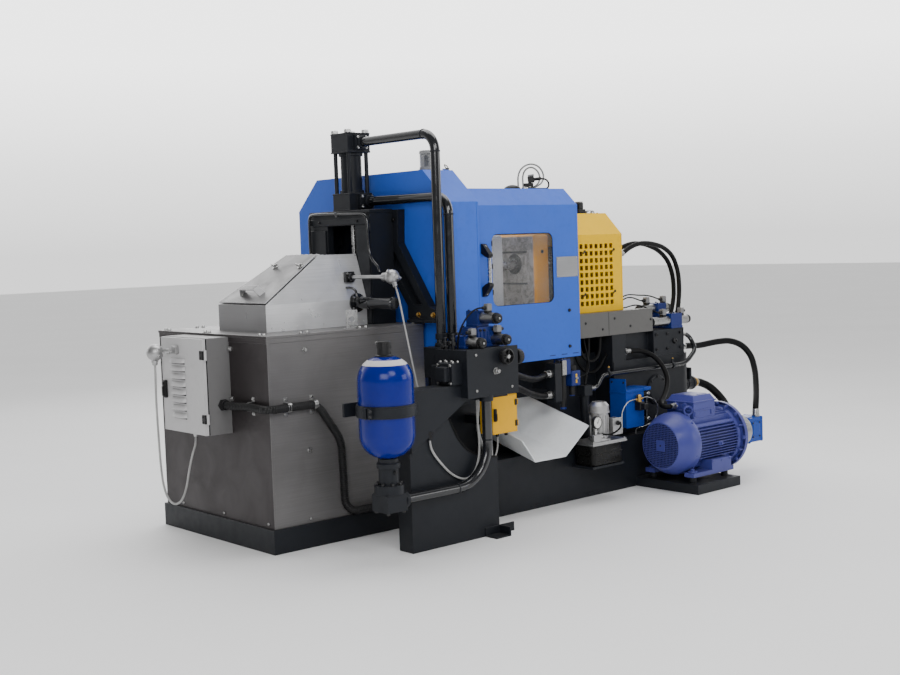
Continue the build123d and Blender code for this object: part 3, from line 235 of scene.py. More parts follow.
def metal(name, col, rough=0.32, grain=240.0, bump=0.10, tarnish=0.25, dark=(0.10, 0.09, 0.08), aniso=0.0):
    """Solid metal: machined, plated or cast."""
    m = Mat(name)
    c = m.mix(m.span(m.noise(30, 6), 0.3, 0.72), shade(col, 0.86), shade(col, 1.08))
    c = m.mix(m.span(m.noise(75, 6, warp=0.5), 0.56, 0.78, 0, tarnish), c, dark)
    nrm, edge = m.edges(0.0012)
    c = m.mix(m.span(edge, 0.1, 0.9, 0, 0.4), c, shade(col, 1.3))
    m.colour(c)
    m.b.inputs["Metallic"].default_value = 1.0
    if aniso:
        m.b.inputs["Anisotropic"].default_value = aniso
    m.rough(m.span(m.noise(60, 5), 0.3, 0.7, rough - 0.07, rough + 0.12))
    m.bump(m.noise(grain, 3), bump, 0.0006, nrm)
    MAT[name] = m.mat


def plastic(name, col, rough=0.45, grain=520.0, bump=0.10, tone=0.15, dust=0.2, alpha=None, stretch=None, spec=0.4):
    """Moulded plastic or rubber with a fine grain, dulled where dust settles."""
    m = Mat(name)
    c = m.mix(m.span(m.noise(14, 5), 0.3, 0.7), shade(col, 1 - tone), shade(col, 1 + tone))
    dirt = m.calc("MULTIPLY", m.span(m.up(), 0.3, 1.0), m.span(m.noise(22, 6), 0.4, 0.75, 0, dust))
    c = m.mix(dirt, c, (0.22, 0.21, 0.19))
    nrm, _ = m.edges(0.0012)
    m.colour(c)
    m.rough(m.span(m.noise(40, 5), 0.3, 0.7, rough - 0.06, rough + 0.10))
    m.bump(m.noise(grain, 3, stretch=stretch), bump, 0.0006, nrm)
    m.b.inputs["Specular IOR Level"].default_value = spec
    if alpha is not None:
        m.link(m.span(m.noise(6, 6, warp=0.7), 0.3, 0.75, alpha[0], alpha[1]), m.b.inputs["Alpha"])
    MAT[name] = m.mat


paint("charcoal", (0.0105, 0.0122, 0.0160), rough=0.42, wear=0.5, wear_col=(0.09, 0.09, 0.095), dust=0.07, tone=0.16, spec=0.22)
paint("charcoal_gloss", (0.0080, 0.0088, 0.0108), rough=0.13, wear=0.3, wear_col=(0.07, 0.07, 0.07), dust=0.05, peel=0.05, spec=0.7)
# door and cabinet body are one grey paint; the body's copy below is far darker, painted shade for the cabinet's side
paint("grey_box", (0.54, 0.535, 0.54), rough=0.50, tone=0.05, wear=0.4, wear_col=(0.70, 0.70, 0.70), peel=0.3, grain=900)
paint("grey_case_painted_shade", (0.150, 0.148, 0.149), rough=0.50, tone=0.06, wear=0.6, wear_col=(0.40, 0.40, 0.40), peel=0.3, grain=900)
paint("grey_beam", (0.098, 0.096, 0.092), rough=0.46, tone=0.07, wear=0.6, wear_col=(0.26, 0.26, 0.25))
paint("grey_sheet", (0.80, 0.825, 0.84), rough=0.42, tone=0.05, wear=0.5, wear_col=(0.7, 0.7, 0.7), dust=0.08)
paint("platen_grey", (0.33, 0.33, 0.33), rough=0.40, tone=0.10, wear=0.6, wear_col=(0.5, 0.5, 0.5))
paint("blue", (0.026, 0.110, 0.56), rough=0.38, tone=0.05, wear=0.45, wear_col=(0.12, 0.24, 0.60), dust=0.06, dust_col=(0.20, 0.30, 0.58), spec=0.25)
paint("yellow", (0.84, 0.500, 0.0010), rough=0.42, tone=0.05, wear=0.4, wear_col=(0.85, 0.60, 0.10), dust=0.04, dust_col=(0.70, 0.45, 0.04), spec=0.10)
paint("bottle_blue", (0.0006, 0.0080, 0.180), rough=0.15, tone=0.10, wear=0.2, wear_col=(0.02, 0.06, 0.4), dust=0.02, peel=0.04, spec=0.28)
paint("valve_blue", (0.008, 0.022, 0.150), rough=0.34, tone=0.12, wear=0.5, wear_col=(0.06, 0.09, 0.26), dust=0.10, spec=0.3)
paint("box_blue", (0.005, 0.048, 0.31), rough=0.34, tone=0.08, wear=0.5, wear_col=(0.05, 0.13, 0.44), dust=0.06, spec=0.25)
paint("motor_blue", (0.050, 0.058, 0.255), rough=0.34, tone=0.08, wear=0.5, wear_col=(0.14, 0.15, 0.36), dust=0.12, peel=0.2, grain=380, spec=0.35)
# the front and slope colours below are painted shade: the housing's and hood's fronts and the hood's and lid's
# up-facing planes are darkened
brushed("housing_steel", (0.185, 0.180, 0.180), rough=0.44, metal=0.45, stain=0.20, stain_col=(0.095, 0.080, 0.076), front=(0.90, (0.026, 0.020, 0.0215)))
brushed("hood_steel", (0.80, 0.805, 0.82), rough=0.33, tone=0.09, line=0.14, metal=0.5, stain=0.30, stain_col=(0.36, 0.35, 0.35), front=(0.85, (0.15, 0.146, 0.150)), slope=(0.92, (0.098, 0.096, 0.098)))
brushed("lid_steel", (0.62, 0.62, 0.63), rough=0.38, tone=0.10, line=0.18, metal=0.35, stain=0.28, stain_col=(0.30, 0.29, 0.29), slope=(1.0, (0.125, 0.123, 0.125)))
brushed("plate_alu", (0.30, 0.302, 0.31), rough=0.42, tone=0.04, stain=0.08, stain_col=(0.2, 0.2, 0.2))
metal("ground_steel", (0.52, 0.52, 0.52), rough=0.22, bump=0.05)
metal("zinc", (0.50, 0.50, 0.495), rough=0.30, tarnish=0.35, dark=(0.08, 0.075, 0.07))
metal("coil_steel", (0.36, 0.36, 0.355), rough=0.30, tarnish=0.30, dark=(0.08, 0.075, 0.07))
metal("cast_alu", (0.43, 0.43, 0.43), rough=0.40, grain=420, bump=0.25, tarnish=0.22, dark=(0.16, 0.16, 0.16))
metal("brass", (0.62, 0.38, 0.11), rough=0.30, tarnish=0.35, dark=(0.20, 0.12, 0.04))
metal("cast_iron", (0.11, 0.105, 0.10), rough=0.6, grain=160, bump=0.4, tarnish=0.4, dark=(0.05, 0.03, 0.02))
metal("dark_steel", (0.050, 0.050, 0.052), rough=0.40, tarnish=0.3, dark=(0.02, 0.02, 0.02))
plastic("black_plastic", (0.0085, 0.0085, 0.0092), rough=0.40, dust=0.10, spec=0.3)
# black for the fan inside the motor cowl, and painted shade for the openings under the cabinet door's louvres
plastic("fan_black_and_slot_shade", (0.0030, 0.0030, 0.0040), rough=0.60, dust=0.0, spec=0.1)
plastic("rubber", (0.0050, 0.0050, 0.0054), rough=0.48, grain=300, bump=0.25, dust=0.02, spec=0.14)
plastic("grey_plastic", (0.20, 0.20, 0.205), rough=0.42)
plastic("white_plastic", (0.72, 0.72, 0.70), rough=0.38, tone=0.05, dust=0.05)
plastic("cable_grey", (0.34, 0.34, 0.335), rough=0.48, grain=900, bump=0.45, dust=0.1)
plastic("tube_clear", (0.12, 0.125, 0.12), rough=0.20, bump=0.04, dust=0.0, alpha=(0.60, 0.85), spec=0.5)
plastic("lens_clear", (0.13, 0.135, 0.145), rough=0.16, bump=0.03, dust=0.0, alpha=(0.66, 0.84), spec=0.5)
plastic("window_sheet", (0.56, 0.57, 0.57), rough=0.12, bump=0.02, tone=0.06, dust=0.0, alpha=(0.03, 0.11), spec=0.3)
plastic("oil_dark", (0.0065, 0.0065, 0.0062), rough=0.28, bump=0.01, tone=0.06, dust=0.0, spec=0.22)


def two_tone(name, col, other, where, rough=0.36, mottled=0.0):
    """Paint with another finish where a mask says so: where is a function of the material that returns the mask."""
    m = Mat(name)
    c = m.mix(m.span(m.noise(1.7, 5), 0.3, 0.7), shade(col, 0.95), shade(col, 1.05))
    c = m.mix(m.span(m.noise(38, 6), 0.52, 0.75, 0, 0.3), c, shade(col, 0.84))
    o = m.mix(m.span(m.noise(26, 7, warp=0.9), 0.40, 0.62), shade(other, 0.75), shade(other, 1.0 + mottled))
    c = m.mix(where(m), c, o)
    nrm, edge = m.edges()
    c = m.mix(m.calc("MULTIPLY", edge, m.span(m.noise(85, 5), 0.50, 0.68, 0, 0.4)), c, shade(col, 1.15))
    m.colour(c)
    m.rough(m.span(m.noise(24, 5), 0.3, 0.75, rough - 0.07, rough + 0.10))
    m.bump(m.noise(650, 2), 0.12, 0.0006, nrm)
    m.b.inputs["Specular IOR Level"].default_value = 0.25
    MAT[name] = m.mat


def facing_furnace(m):
    s = m.n.new("ShaderNodeSeparateXYZ")
    m.link(m.geo.outputs["Normal"], s.inputs[0])
    return m.span(s.outputs["X"], -0.80, -0.95)


def behind_box(m):
    s = m.n.new("ShaderNodeSeparateXYZ")
    m.link(m.co, s.inputs[0])
    return m.span(s.outputs["Y"], -0.5945, -0.5915)


two_tone("orange", (0.86, 0.450, 0.001), (0.0105, 0.0122, 0.0160), behind_box)
two_tone("platen_yellow", (0.80, 0.330, 0.012), (0.240, 0.222, 0.205), facing_furnace, mottled=0.7)

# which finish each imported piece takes
LOOK = {
    "charcoal": ("furnace_base", "injection_portal", "injection_yoke", "injection_cylinder", "main_base", "side_plates",
                 "pedestal", "valve_manifold", "accumulator_clamp", "accumulator_block", "hydraulic_tank", "rear_platen",
                 "cable_bracket"),
    "charcoal_gloss": ("steel_pipes",),
    "housing_steel": ("furnace_housing", "furnace_lid"),
    "hood_steel": ("furnace_hood",),
    "lid_steel": ("loading_lid",),
    "grey_box": ("cabinet_door",),
    "grey_case_painted_shade": ("electrical_cabinet",),
    "grey_beam": ("door_guide",),
    "grey_sheet": ("chute",),
    "platen_grey": ("fixed_platen",),
    "blue": ("front_guard", "safety_door", "rear_guard"),
    "yellow": ("yellow_guard", "guard_grilles"),
    "orange": ("control_box", "control_box_door"),
    "platen_yellow": ("moving_platen",),
    "ground_steel": ("tie_bars", "injection_rod", "clamp_rod"),
    "cast_iron": ("crucible",),
    "window_sheet": ("door_window", "rear_window"),
    "cast_alu": ("parked_thermocouple", "lube_pump", "thermocouple"),
    "coil_steel": ("solenoids",),
    "zinc": ("lube_lines",),
    "bottle_blue": ("accumulator",),
    "valve_blue": ("valve_bodies", "air_unit"),
    "box_blue": ("oil_box", "hydraulic_pump"),
    "motor_blue": ("motor_body", "motor_cowl"),
    "rubber": ("hydraulic_hoses",),
    "black_plastic": ("door_handle", "throttle_knob", "conduit"),
    "oil_dark": ("lube_reservoir",),
    "cable_grey": ("thermocouple_lead", "thermocouple_cable", "stand_cable", "box_cable"),
    "tube_clear": ("air_tube_outer", "air_tube_inner"),
}
for look, names in LOOK.items():
    for nm in names:
        me = NODES[nm].data
        me.materials.clear()
        me.materials.append(MAT[look])


# ------------------------------------------------------------- mesh helpers ---
def unit(v):
    return Vector(v).normalized()


def basis(n):
    """Two directions square to n, and n."""
    n = unit(n)
    a = Vector((0, 0, 1)) if abs(n.z) < 0.9 else Vector((1, 0, 0))
    u = a.cross(n).normalized()
    return u, n.cross(u), n


class Kit:
    """Collects shapes, in millimetres and in the row frame, into one mesh."""

    def __init__(self):
        self.v, self.f, self.m = [], [], []

    def add(self, verts, faces, mat=0):
        o = len(self.v)
        self.v += [Vector(x) for x in verts]
        self.f += [tuple(i + o for i in f) for f in faces]
        self.m += [mat] * len(faces)

    def box(self, x0, x1, y0, y1, z0, z1, bev=1.5, mat=0):
        self.obox(((x0 + x1) / 2, (y0 + y1) / 2, (z0 + z1) / 2), (1, 0, 0), (0, 1, 0), (x1 - x0) / 2, (y1 - y0) / 2,
                  (z1 - z0) / 2, bev, mat)

    def obox(self, c, u, v, a, b, d, bev=1.5, mat=0):
        """A block with broken edges: centre, two of its directions and its three half sizes."""
        c, u, v = Vector(c), unit(u), unit(v)
        w = u.cross(v)
        h = (a, b, d)
        k = min(bev, 0.45 * min(h))
        vs, index = [], {}
        for sx in (-1, 1):
            for sy in (-1, 1):
                for sz in (-1, 1):
                    for ax in range(3):
                        q = [sx * h[0], sy * h[1], sz * h[2]]
                        for o in range(3):
                            if o != ax:
                                q[o] -= math.copysign(k, q[o])
                        index[(sx, sy, sz, ax)] = len(vs)
                        vs.append(c + u * q[0] + v * q[1] + w * q[2])
        fs = []
        for ax in range(3):
            o1, o2 = [i for i in range(3) if i != ax]
            for s in (-1, 1):
                quad = []
                for p, q in ((-1, -1), (1, -1), (1, 1), (-1, 1)):
                    key = [0, 0, 0]
                    key[ax], key[o1], key[o2] = s, p, q
                    quad.append(index[(*key, ax)])
                fs.append(quad)
            # edges along this direction
            for p in (-1, 1):
                for q in (-1, 1):
                    quad = []
                    for s, who in ((-1, o1), (-1, o2), (1, o2), (1, o1)):
                        key = [0, 0, 0]
                        key[ax], key[o1], key[o2] = s, p, q
                        quad.append(index[(*key, who)])
                    fs.append(quad)
        for sx in (-1, 1):
            for sy in (-1, 1):
                for sz in (-1, 1):
                    fs.append([index[(sx, sy, sz, i)] for i in range(3)])
        self.add(vs, fs, mat)

    def lathe(self, p, n, profile, seg=28, mat=0, turn=0.0, cap=True):
        """Turned shape about the axis n through p; profile is (distance along the axis, radius) pairs."""
        p = Vector(p)
        u, v, n = basis(n)
        vs, rings = [], []
        for t, r in profile:
            if r < 1e-6:
                rings.append([len(vs)])
                vs.append(p + n * t)
            else:
                rings.append(list(range(len(vs), len(vs) + seg)))
                for i in range(seg):
                    a = 2 * math.pi * i / seg + turn
                    vs.append(p + n * t + u * (r * math.cos(a)) + v * (r * math.sin(a)))
        fs = []
        for a, b in zip(rings, rings[1:]):
            for i in range(seg):
                j = (i + 1) % seg
                if len(a) == 1 and len(b) == 1:
                    continue
                if len(a) == 1:
                    fs.append((a[0], b[j], b[i]))
                elif len(b) == 1:
                    fs.append((a[i], a[j], b[0]))
                else:
                    fs.append((a[i], a[j], b[j], b[i]))
        if cap and len(rings[0]) > 1:
            fs.append(tuple(reversed(rings[0])))
        if cap and len(rings[-1]) > 1:
            fs.append(tuple(rings[-1]))
        self.add(vs, fs, mat)

    def cyl(self, p0, p1, r, bev=1.0, seg=28, mat=0):
        p0, p1 = Vector(p0), Vector(p1)
        L = (p1 - p0).length
        k = min(bev, 0.4 * r, 0.4 * L)
        self.lathe(p0, p1 - p0, [(0, r - k), (k, r), (L - k, r), (L, r - k)], seg, mat)

    def ring(self, p, n, r0, r1, h, seg=36, mat=0, bev=0.8):
        """A flat ring: inner and outer radius, and its height along n."""
        k = min(bev, 0.3 * h, 0.3 * (r1 - r0))
        prof = [(0, r0), (0, r1 - k), (k, r1), (h - k, r1), (h, r1 - k), (h, r0)]
        p = Vector(p)
        u, v, n = basis(n)
        vs, fs = [], []
        for t, r in prof:
            for i in range(seg):
                a = 2 * math.pi * i / seg
                vs.append(p + n * t + u * (r * math.cos(a)) + v * (r * math.sin(a)))
        c = len(prof)
        for k2 in range(c):
            for i in range(seg):
                j = (i + 1) % seg
                a, b = k2 * seg, ((k2 + 1) % c) * seg
                fs.append((a + i, a + j, b + j, b + i))
        self.add(vs, fs, mat)

    def hexhead(self, p, n, af, h, mat=0, washer=0.0):
        """Hexagon bolt head or nut standing on p along n, with an optional washer of that radius."""
        R = af / math.sqrt(3)
        p, n = Vector(p), unit(n)
        if washer:
            self.cyl(p, p + n * 2.0, washer, 0.5, 24, mat)
            p = p + n * 2.0
        self.lathe(p, n, [(0, R), (h * 0.82, R), (h, R * 0.86)], 6, mat)

    def socket(self, p, n, r, h, mat=0):
        """Socket head cap screw."""
        self.lathe(p, n, [(0, r * 0.96), (h * 0.12, r), (h * 0.86, r), (h, r * 0.88), (h, r * 0.55), (h * 0.45, r * 0.5), (h * 0.45, 0)], 18, mat)

    def button(self, p, n, r, h, mat=0):
        """Button head screw."""
        self.lathe(p, n, [(0, r), (h * 0.45, r * 0.93), (h * 0.8, r * 0.7), (h, r * 0.4), (h * 0.5, r * 0.34), (h * 0.5, 0)], 18, mat)

    def tube(self, pts, r, seg=12, mat=0):
        """A round tube along points; r is one radius or one for each point."""
        pts = [Vector(p) for p in pts]
        rad = r if isinstance(r, (list, tuple)) else [r] * len(pts)
        tang = []
        for i in range(len(pts)):
            a, b = pts[max(0, i - 1)], pts[min(len(pts) - 1, i + 1)]
            tang.append((b - a).normalized())
        u, _, _ = basis(tang[0])
        vs, fs = [], []
        for i, p in enumerate(pts):
            t = tang[i]
            u = (u - t * u.dot(t)).normalized()
            w = t.cross(u)
            for k in range(seg):
                a = 2 * math.pi * k / seg
                vs.append(p + u * (rad[i] * math.cos(a)) + w * (rad[i] * math.sin(a)))
        for i in range(len(pts) - 1):
            for k in range(seg):
                j = (k + 1) % seg
                fs.append((i * seg + k, i * seg + j, (i + 1) * seg + j, (i + 1) * seg + k))
        fs.append(tuple(range(seg - 1, -1, -1)))
        fs.append(tuple(range((len(pts) - 1) * seg, len(pts) * seg)))
        self.add(vs, fs, mat)

    def prism(self, poly, d, mat=0, holes=()):
        """A flat outline, with holes, made thick along d."""
        d = Vector(d)
        loops = [[Vector(p) for p in poly]] + [[Vector(p) for p in h] for h in holes]
        flat = [p for lp in loops for p in lp]
        n = len(flat)
        tris = tessellate_polygon(loops)
        fs = [tuple(t) for t in tris] + [tuple(i + n for i in reversed(t)) for t in tris]
        o = 0
        for lp in loops:
            k = len(lp)
            for i in range(k):
                j = (i + 1) % k
                fs.append((o + i, o + j, o + j + n, o + i + n))
            o += k
        self.add(flat + [p + d for p in flat], fs, mat)

    def plate(self, o, u, v, w, h, t, holes=(), r=0.0, mat=0, seg=16):
        """A plate w by h centred on o in the directions u and v, t thick along u x v, with round corners and holes (x, y, radius)."""
        o, u, v = Vector(o), unit(u), unit(v)
        nrm = u.cross(v)
        out = []
        if r > 0:
            for cx, cy, a0 in ((w / 2 - r, h / 2 - r, 0), (-w / 2 + r, h / 2 - r, 90), (-w / 2 + r, -h / 2 + r, 180), (w / 2 - r, -h / 2 + r, 270)):
                for i in range(7):
                    a = math.radians(a0 + 15 * i)
                    out.append((cx + r * math.cos(a), cy + r * math.sin(a)))
        else:
            out = [(w / 2, h / 2), (-w / 2, h / 2), (-w / 2, -h / 2), (w / 2, -h / 2)]
        hl = []
        for x, y, hr in holes:
            hl.append([(x + hr * math.cos(-2 * math.pi * i / seg), y + hr * math.sin(-2 * math.pi * i / seg)) for i in range(seg)])
        to3 = lambda q: o + u * q[0] + v * q[1]
        self.prism([to3(q) for q in out], nrm * t, mat, [[to3(q) for q in lp] for lp in hl])

    def sphere(self, p, r, mat=0, seg=28, rings=14, squash=1.0, axis=(0, 0, 1)):
        prof = []
        for i in range(rings + 1):
            a = math.pi * i / rings
            prof.append((-r * squash * math.cos(a), r * math.sin(a) if 0 < i < rings else 0.0))
        self.lathe(p, axis, prof, seg, mat)


def put(name, kit, looks, body="machine", replaces=(), sharp=34.0, ride=True):
    """Turns a kit into an object of the scene that rides on a body."""
    me = bpy.data.meshes.new(name)
    me.from_pydata([v * MM for v in kit.v], [], kit.f)
    for k in looks:
        me.materials.append(MAT[k])
    me.polygons.foreach_set("material_index", kit.m)
    bm = bmesh.new()
    bm.from_mesh(me)
    bmesh.ops.recalc_face_normals(bm, faces=bm.faces)
    lim = math.radians(sharp)
    for f in bm.faces:
        f.smooth = True
    for e in bm.edges:
        if len(e.link_faces) != 2 or e.calc_face_angle(0.0) > lim:
            e.smooth = False
    bm.to_mesh(me)
    bm.free()
    ob = bpy.data.objects.new(name, me)
    SC.collection.objects.link(ob)
    if ride:
        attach(ob, body)
    if replaces:
        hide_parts(*replaces)
    return ob


def spline(name, pts, r):
    """A smooth cord line through a route's control points, in millimetres."""
    cu = bpy.data.curves.new(name, "CURVE")
    cu.dimensions = "3D"
    sp = cu.splines.new("NURBS")
    sp.points.add(len(pts) - 1)
    for q, p in zip(sp.points, pts):
        q.co = (p[0] * MM, p[1] * MM, p[2] * MM, 1.0)
    sp.order_u = 3
    sp.use_endpoint_u = True
    sp.resolution_u = 10
    cu.bevel_depth = r * MM
    cu.bevel_resolution = 4
    cu.use_fill_caps = True
    ob = bpy.data.objects.new(name, cu)
    SC.collection.objects.link(ob)
    return ob


def line_points(name, pts):
    """The points, in millimetres, along the smooth line of a route."""
    ob = spline(name, pts, 0.0)
    me = bpy.data.meshes.new_from_object(ob.evaluated_get(bpy.context.evaluated_depsgraph_get()))
    out = [Vector(v.co) / MM for v in me.vertices]
    cu = ob.data
    bpy.data.objects.remove(ob)
    bpy.data.curves.remove(cu)
    bpy.data.meshes.remove(me)
    return out


def length_of(pts):
    return sum((b - a).length for a, b in zip(pts, pts[1:]))


# ------------------------------------------------------------------- cords ---
CORDS = {
    "thermocouple_cable": ([(-683.2, -533.4, 1113.5), (-691.2, -558.4, 1083.0), (-703, -592, 1018), (-710, -618, 948), (-716, -645, 878),
                            (-720, -668, 810), (-721, -688, 748), (-720, -701, 698), (-720, -713, 663), (-720, -734, 644), (-720, -756, 644)],
                           4.0, "cable_grey", "hanging", "medium"),
    "stand_cable": ([(-786, -854, 470), (-786, -854, 446), (-768, -855, 408), (-728, -855, 362), (-684, -855, 318), (-637, -855, 288),
                     (-593, -855, 275), (-555, -855, 284), (-526, -855, 316), (-508, -854, 364), (-496, -846, 412), (-485, -830, 464),
                     (-476, -815, 518), (-470, -808, 570), (-470, -808, 613)], 5.0, "cable_grey", "hanging", "medium"),
    "box_cable": ([(-186, -632, 410), (-186, -632, 380), (-188, -634, 345), (-200, -636, 312), (-224, -640, 286), (-260, -652, 268),
                   (-300, -684, 256), (-328, -724, 252), (-344, -762, 254), (-362, -786, 258), (-391, -786, 258)], 4.0, "cable_grey", "hanging", "medium"),
}
LOOP_C, LOOP_U, LOOP_W = Vector((366, -350, 1621)), Vector((0.753, -0.658, 0)), Vector((0.658, 0.753, 0))
for nm, uz in (
    ("air_tube_outer", [(-65, -65, 0), (-65, -38, 0), (-66, -4, 0), (-55, 31, 0), (-29, 54, 0), (3, 62, 0), (36, 52, 0), (58, 25, 0),
                        (66, -6, 0), (56, -34, -2), (34, -51, -5), (8, -58, -8), (-16, -60, -9)]),
    ("air_tube_inner", [(-40, -65, 6), (-40, -38, 6), (-42, -6, 6), (-34, 25, 6), (-12, 44, 6), (14, 44, 6), (38, 22, 6), (47, -7, 7),
                        (40, -34, 9), (24, -50, 12), (6, -57, 15), (-8, -58, 16)]),
):
    CORDS[nm] = ([tuple(LOOP_C + LOOP_U * u + Vector((0, 0, z)) + LOOP_W * w) for u, z, w in uz], 4.5, "tube_clear", "loose", "stiff")

for nm, (pts, r, look, lay, stiff) in CORDS.items():
    long = length_of(line_points(nm + "_line", pts)) * MM
    ob = spline(nm + "_cord", pts, r)
    ob.data.materials.append(MAT[look])
    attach(ob, "machine")
    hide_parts(nm)

# the parked thermocouple's lead bends across the cabinet door's hinge
lead_pts = [(-1486, 202, 799), (-1486, 202, 745), (-1489, 202, 660), (-1490, 198, 560), (-1491, 192, 450), (-1490, 188, 345),
            (-1487, 178, 255), (-1478, 156, 195), (-1462, 126, 172), (-1444, 96, 190), (-1428, 76, 250), (-1416, 66, 335),
            (-1398, 60, 405), (-1380, 56, 452), (-1380, 56, 497)]
lead_line = line_points("lead_line", lead_pts)
k = Kit()
k.tube(lead_line, 5.0, 12)
lead = put("thermocouple_lead_cord", k, ["cable_grey"], ride=False)
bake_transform(lead)
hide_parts("thermocouple_lead")

# ----------------------------------------------------------------- furnace ---
LID_TOP = 932
k = Kit()
for y in (470, 110, -340):
    for d in (-17, 17):
        k.hexhead((-1266, y + d, LID_TOP), (0, 0, 1), 13, 8, washer=10)
for x in (-1080, -760, -450):
    for d in (-17, 17):
        k.hexhead((x + d, -384, LID_TOP), (0, 0, 1), 13, 8, washer=10)
        k.hexhead((x + d, 490, LID_TOP), (0, 0, 1), 13, 8, washer=10)
for x, z in ((-1097, 861), (-1092, 424), (-700, 861), (-700, 424)):
    k.hexhead((x, -406, z), (0, -1, 0), 15, 9, washer=11)
    k.hexhead((x, 512, z), (0, 1, 0), 19, 10, washer=15)
for x in (-1100, -780, -470):
    k.button((x, -406, 124), (0, -1, 0), 7, 5)
    k.button((x, 512, 124), (0, 1, 0), 7, 5)
for y in (-360, 0, 360):
    k.button((-1288, y, 124), (-1, 0, 0), 7, 5)
put("furnace_bolts", k, ["coil_steel"])

k = Kit()
# folded corner seams of the housing sheets
for y in (-406, 512):
    s = 1 if y > 0 else -1
    k.box(-1288.6, -1276, y - 0.6 * (s < 0) - 0.6, y + 0.6 * (s > 0) + 0.6, 110, 920, 0.4)
# rim under the lid plate
k.box(-1290.5, -1287.5, -406, 512, 900, 921.6, 0.6)
k.box(-1288, -424, -408.5, -405.5, 900, 921.6, 0.6)
k.box(-1288, -424, 511.5, 514.5, 900, 921.6, 0.6)
put("housing_seams", k, ["housing_steel"])

# perforated angle on the lid plate
k = Kit()
holes = [(dx, dy, 3.6) for dx in (-20, 0, 20) for dy in (-30, 30)] + [(-21, 0, 3.6), (21, 0, 3.6), (0, 0, 13)]
k.plate((-812, -372, LID_TOP + 42), (1, 0, 0), (0, 0, 1), 62, 84, 3, holes, r=4)
k.plate((-812, -358, LID_TOP), (1, 0, 0), (0, 1, 0), 62, 28, 3, [(-18, 2, 4), (18, 2, 4)], r=3)
put("perforated_angle", k, ["zinc"])

# heater tube out of the hood's side, with its flange and lead
k = Kit()
k.ring((-646, -190, 1037), (0, -1, 0), 20, 44, 14)
k.cyl((-646, -196, 1037), (-646, -476, 1037), 27, 3)
k.ring((-646, -460, 1037), (0, -1, 0), 20, 30, 12)
k.ring((-646, -300, 1037), (0, -1, 0), 20, 29.5, 8)
for a in range(4):
    t = math.radians(45 + 90 * a)
    k.hexhead((-646 + 36 * math.cos(t), -204, 1037 + 36 * math.sin(t)), (0, -1, 0), 10, 6, mat=1)
k.tube(line_points("hl", [(-690, -176, 1108), (-690, -215, 1110), (-691, -252, 1096), (-692, -262, 1066), (-684, -262, 1042), (-672, -250, 1037)]), 6, 10)
put("heater_tube", k, ["charcoal_gloss", "zinc"])

# hood: edge folds, studs of the loading panel and its wing screws
hx0, fx, sz, tz = -1149.0, -803.0, 1052.0, 1263.0
sl = math.hypot(fx - hx0, tz - sz)
su = Vector(((fx - hx0) / sl, 0, (tz - sz) / sl))
sn = Vector((-su.z, 0, su.x))


def on_lid(a, y, h=9.0):
    return Vector((hx0, y, sz)) + su * a + sn * h


k = Kit()
for y in (82, -122):
    p = on_lid(293, y)
    k.cyl(p, p + sn * 4, 15, 1)
    k.lathe(p + sn * 4, sn, [(0, 7), (8, 7), (12, 5), (12, 0)], 20)
    for s in (-1, 1):
        k.obox(p + sn * 13 + Vector((0, 15 * s, 0)), su, Vector((0, 1, 0.25 * s)), 3, 10, 6, 1.5)
for y in (-70, 70):
    for a in (66, 86):
        k.button(on_lid(a, y), sn, 5, 4)
put("loading_lid_screws", k, ["zinc"], "loading_lid")
k = Kit()
# piano hinge along the roof fold: knuckles fixed to the hood
for i in range(6):
    y = -100 + 40 * i
    k.cyl((fx + 6, y - 8, tz + 2.0), (fx + 6, y + 8, tz + 2.0), 4.2, 0.6, 14)
k.box(fx + 6, fx + 34, -118, 118, tz, tz + 2, 0.6)
for y in (-96, -32, 32, 96):
    k.button((fx + 22, y, tz + 2), (0, 0, 1), 5, 3)
# riveted skirt flange
for x in (-1120, -980, -840, -700, -610):
    for s in (-1, 1):
        k.button((x, s * 198, 950), (0, s, 0), 4.5, 3)
put("hood_hinge", k, ["hood_steel"])

# ------------------------------------------------------ electrical cabinet ---
k = Kit()
for i in range(8):
    zc = 818 - 35.0 * i
    rows, cols = 7, 15
    vs, fs = [], []
    for a in range(cols):
        t = -1 + 2 * a / (cols - 1)
        wide = max(0.0, 1 - abs(t) ** 5) ** 0.5
        y = 111 + 60 * t
        for b in range(rows):
            q = b / (rows - 1)
            out = wide * 19.0 * math.sin(math.pi * 0.5 * q) ** 0.8
            z = zc + 13 - 22 * q + (1 - wide) * 0
            vs.append((-1420.3 - out, y, z))
        vs.append((-1420.3, y, zc - 9))
    R = rows + 1
    for a in range(cols - 1):
        for b in range(rows):
            fs.append((a * R + b, (a + 1) * R + b, (a + 1) * R + b + 1, a * R + b + 1))
        fs.append((a * R, a * R + rows, (a + 1) * R + rows, (a + 1) * R))
    fs.append(tuple(range(R)))
    fs.append(tuple(reversed(range((cols - 1) * R, cols * R))))
    k.add(vs, fs, 0)
    # a black strip under each louvre: painted shade standing in for the dark inside seen through its opening
    k.box(-1421.5, -1419.5, 55, 167, zc - 14.5, zc - 9.5, 0.4, 1)
# folded rim of the door
k.box(-1421.5, -1419, -103, -96, 499, 920, 0.6)
k.box(-1421.5, -1419, 248, 255, 499, 920, 0.6)
put("door_louvres", k, ["grey_box", "fan_black_and_slot_shade"], "cabinet_door")
k = Kit()
# latch handle over its boss
k.box(-1436.5, -1419.5, 213, 239, 646, 726, 5)
k.box(-1444, -1430, 219, 233, 654, 700, 4)
k.cyl((-1436, 226, 712), (-1441, 226, 712), 7, 1, 18)
for hz in (570, 850):
    k.box(-1424, -1404, -106, -78, hz - 20, hz + 20, 2)
    for dz in (-11, 11):
        k.button((-1424, -88, hz + dz), (-1, 0, 0), 4, 3)
put("cabinet_latch", k, ["black_plastic"], "cabinet_door")
k = Kit()
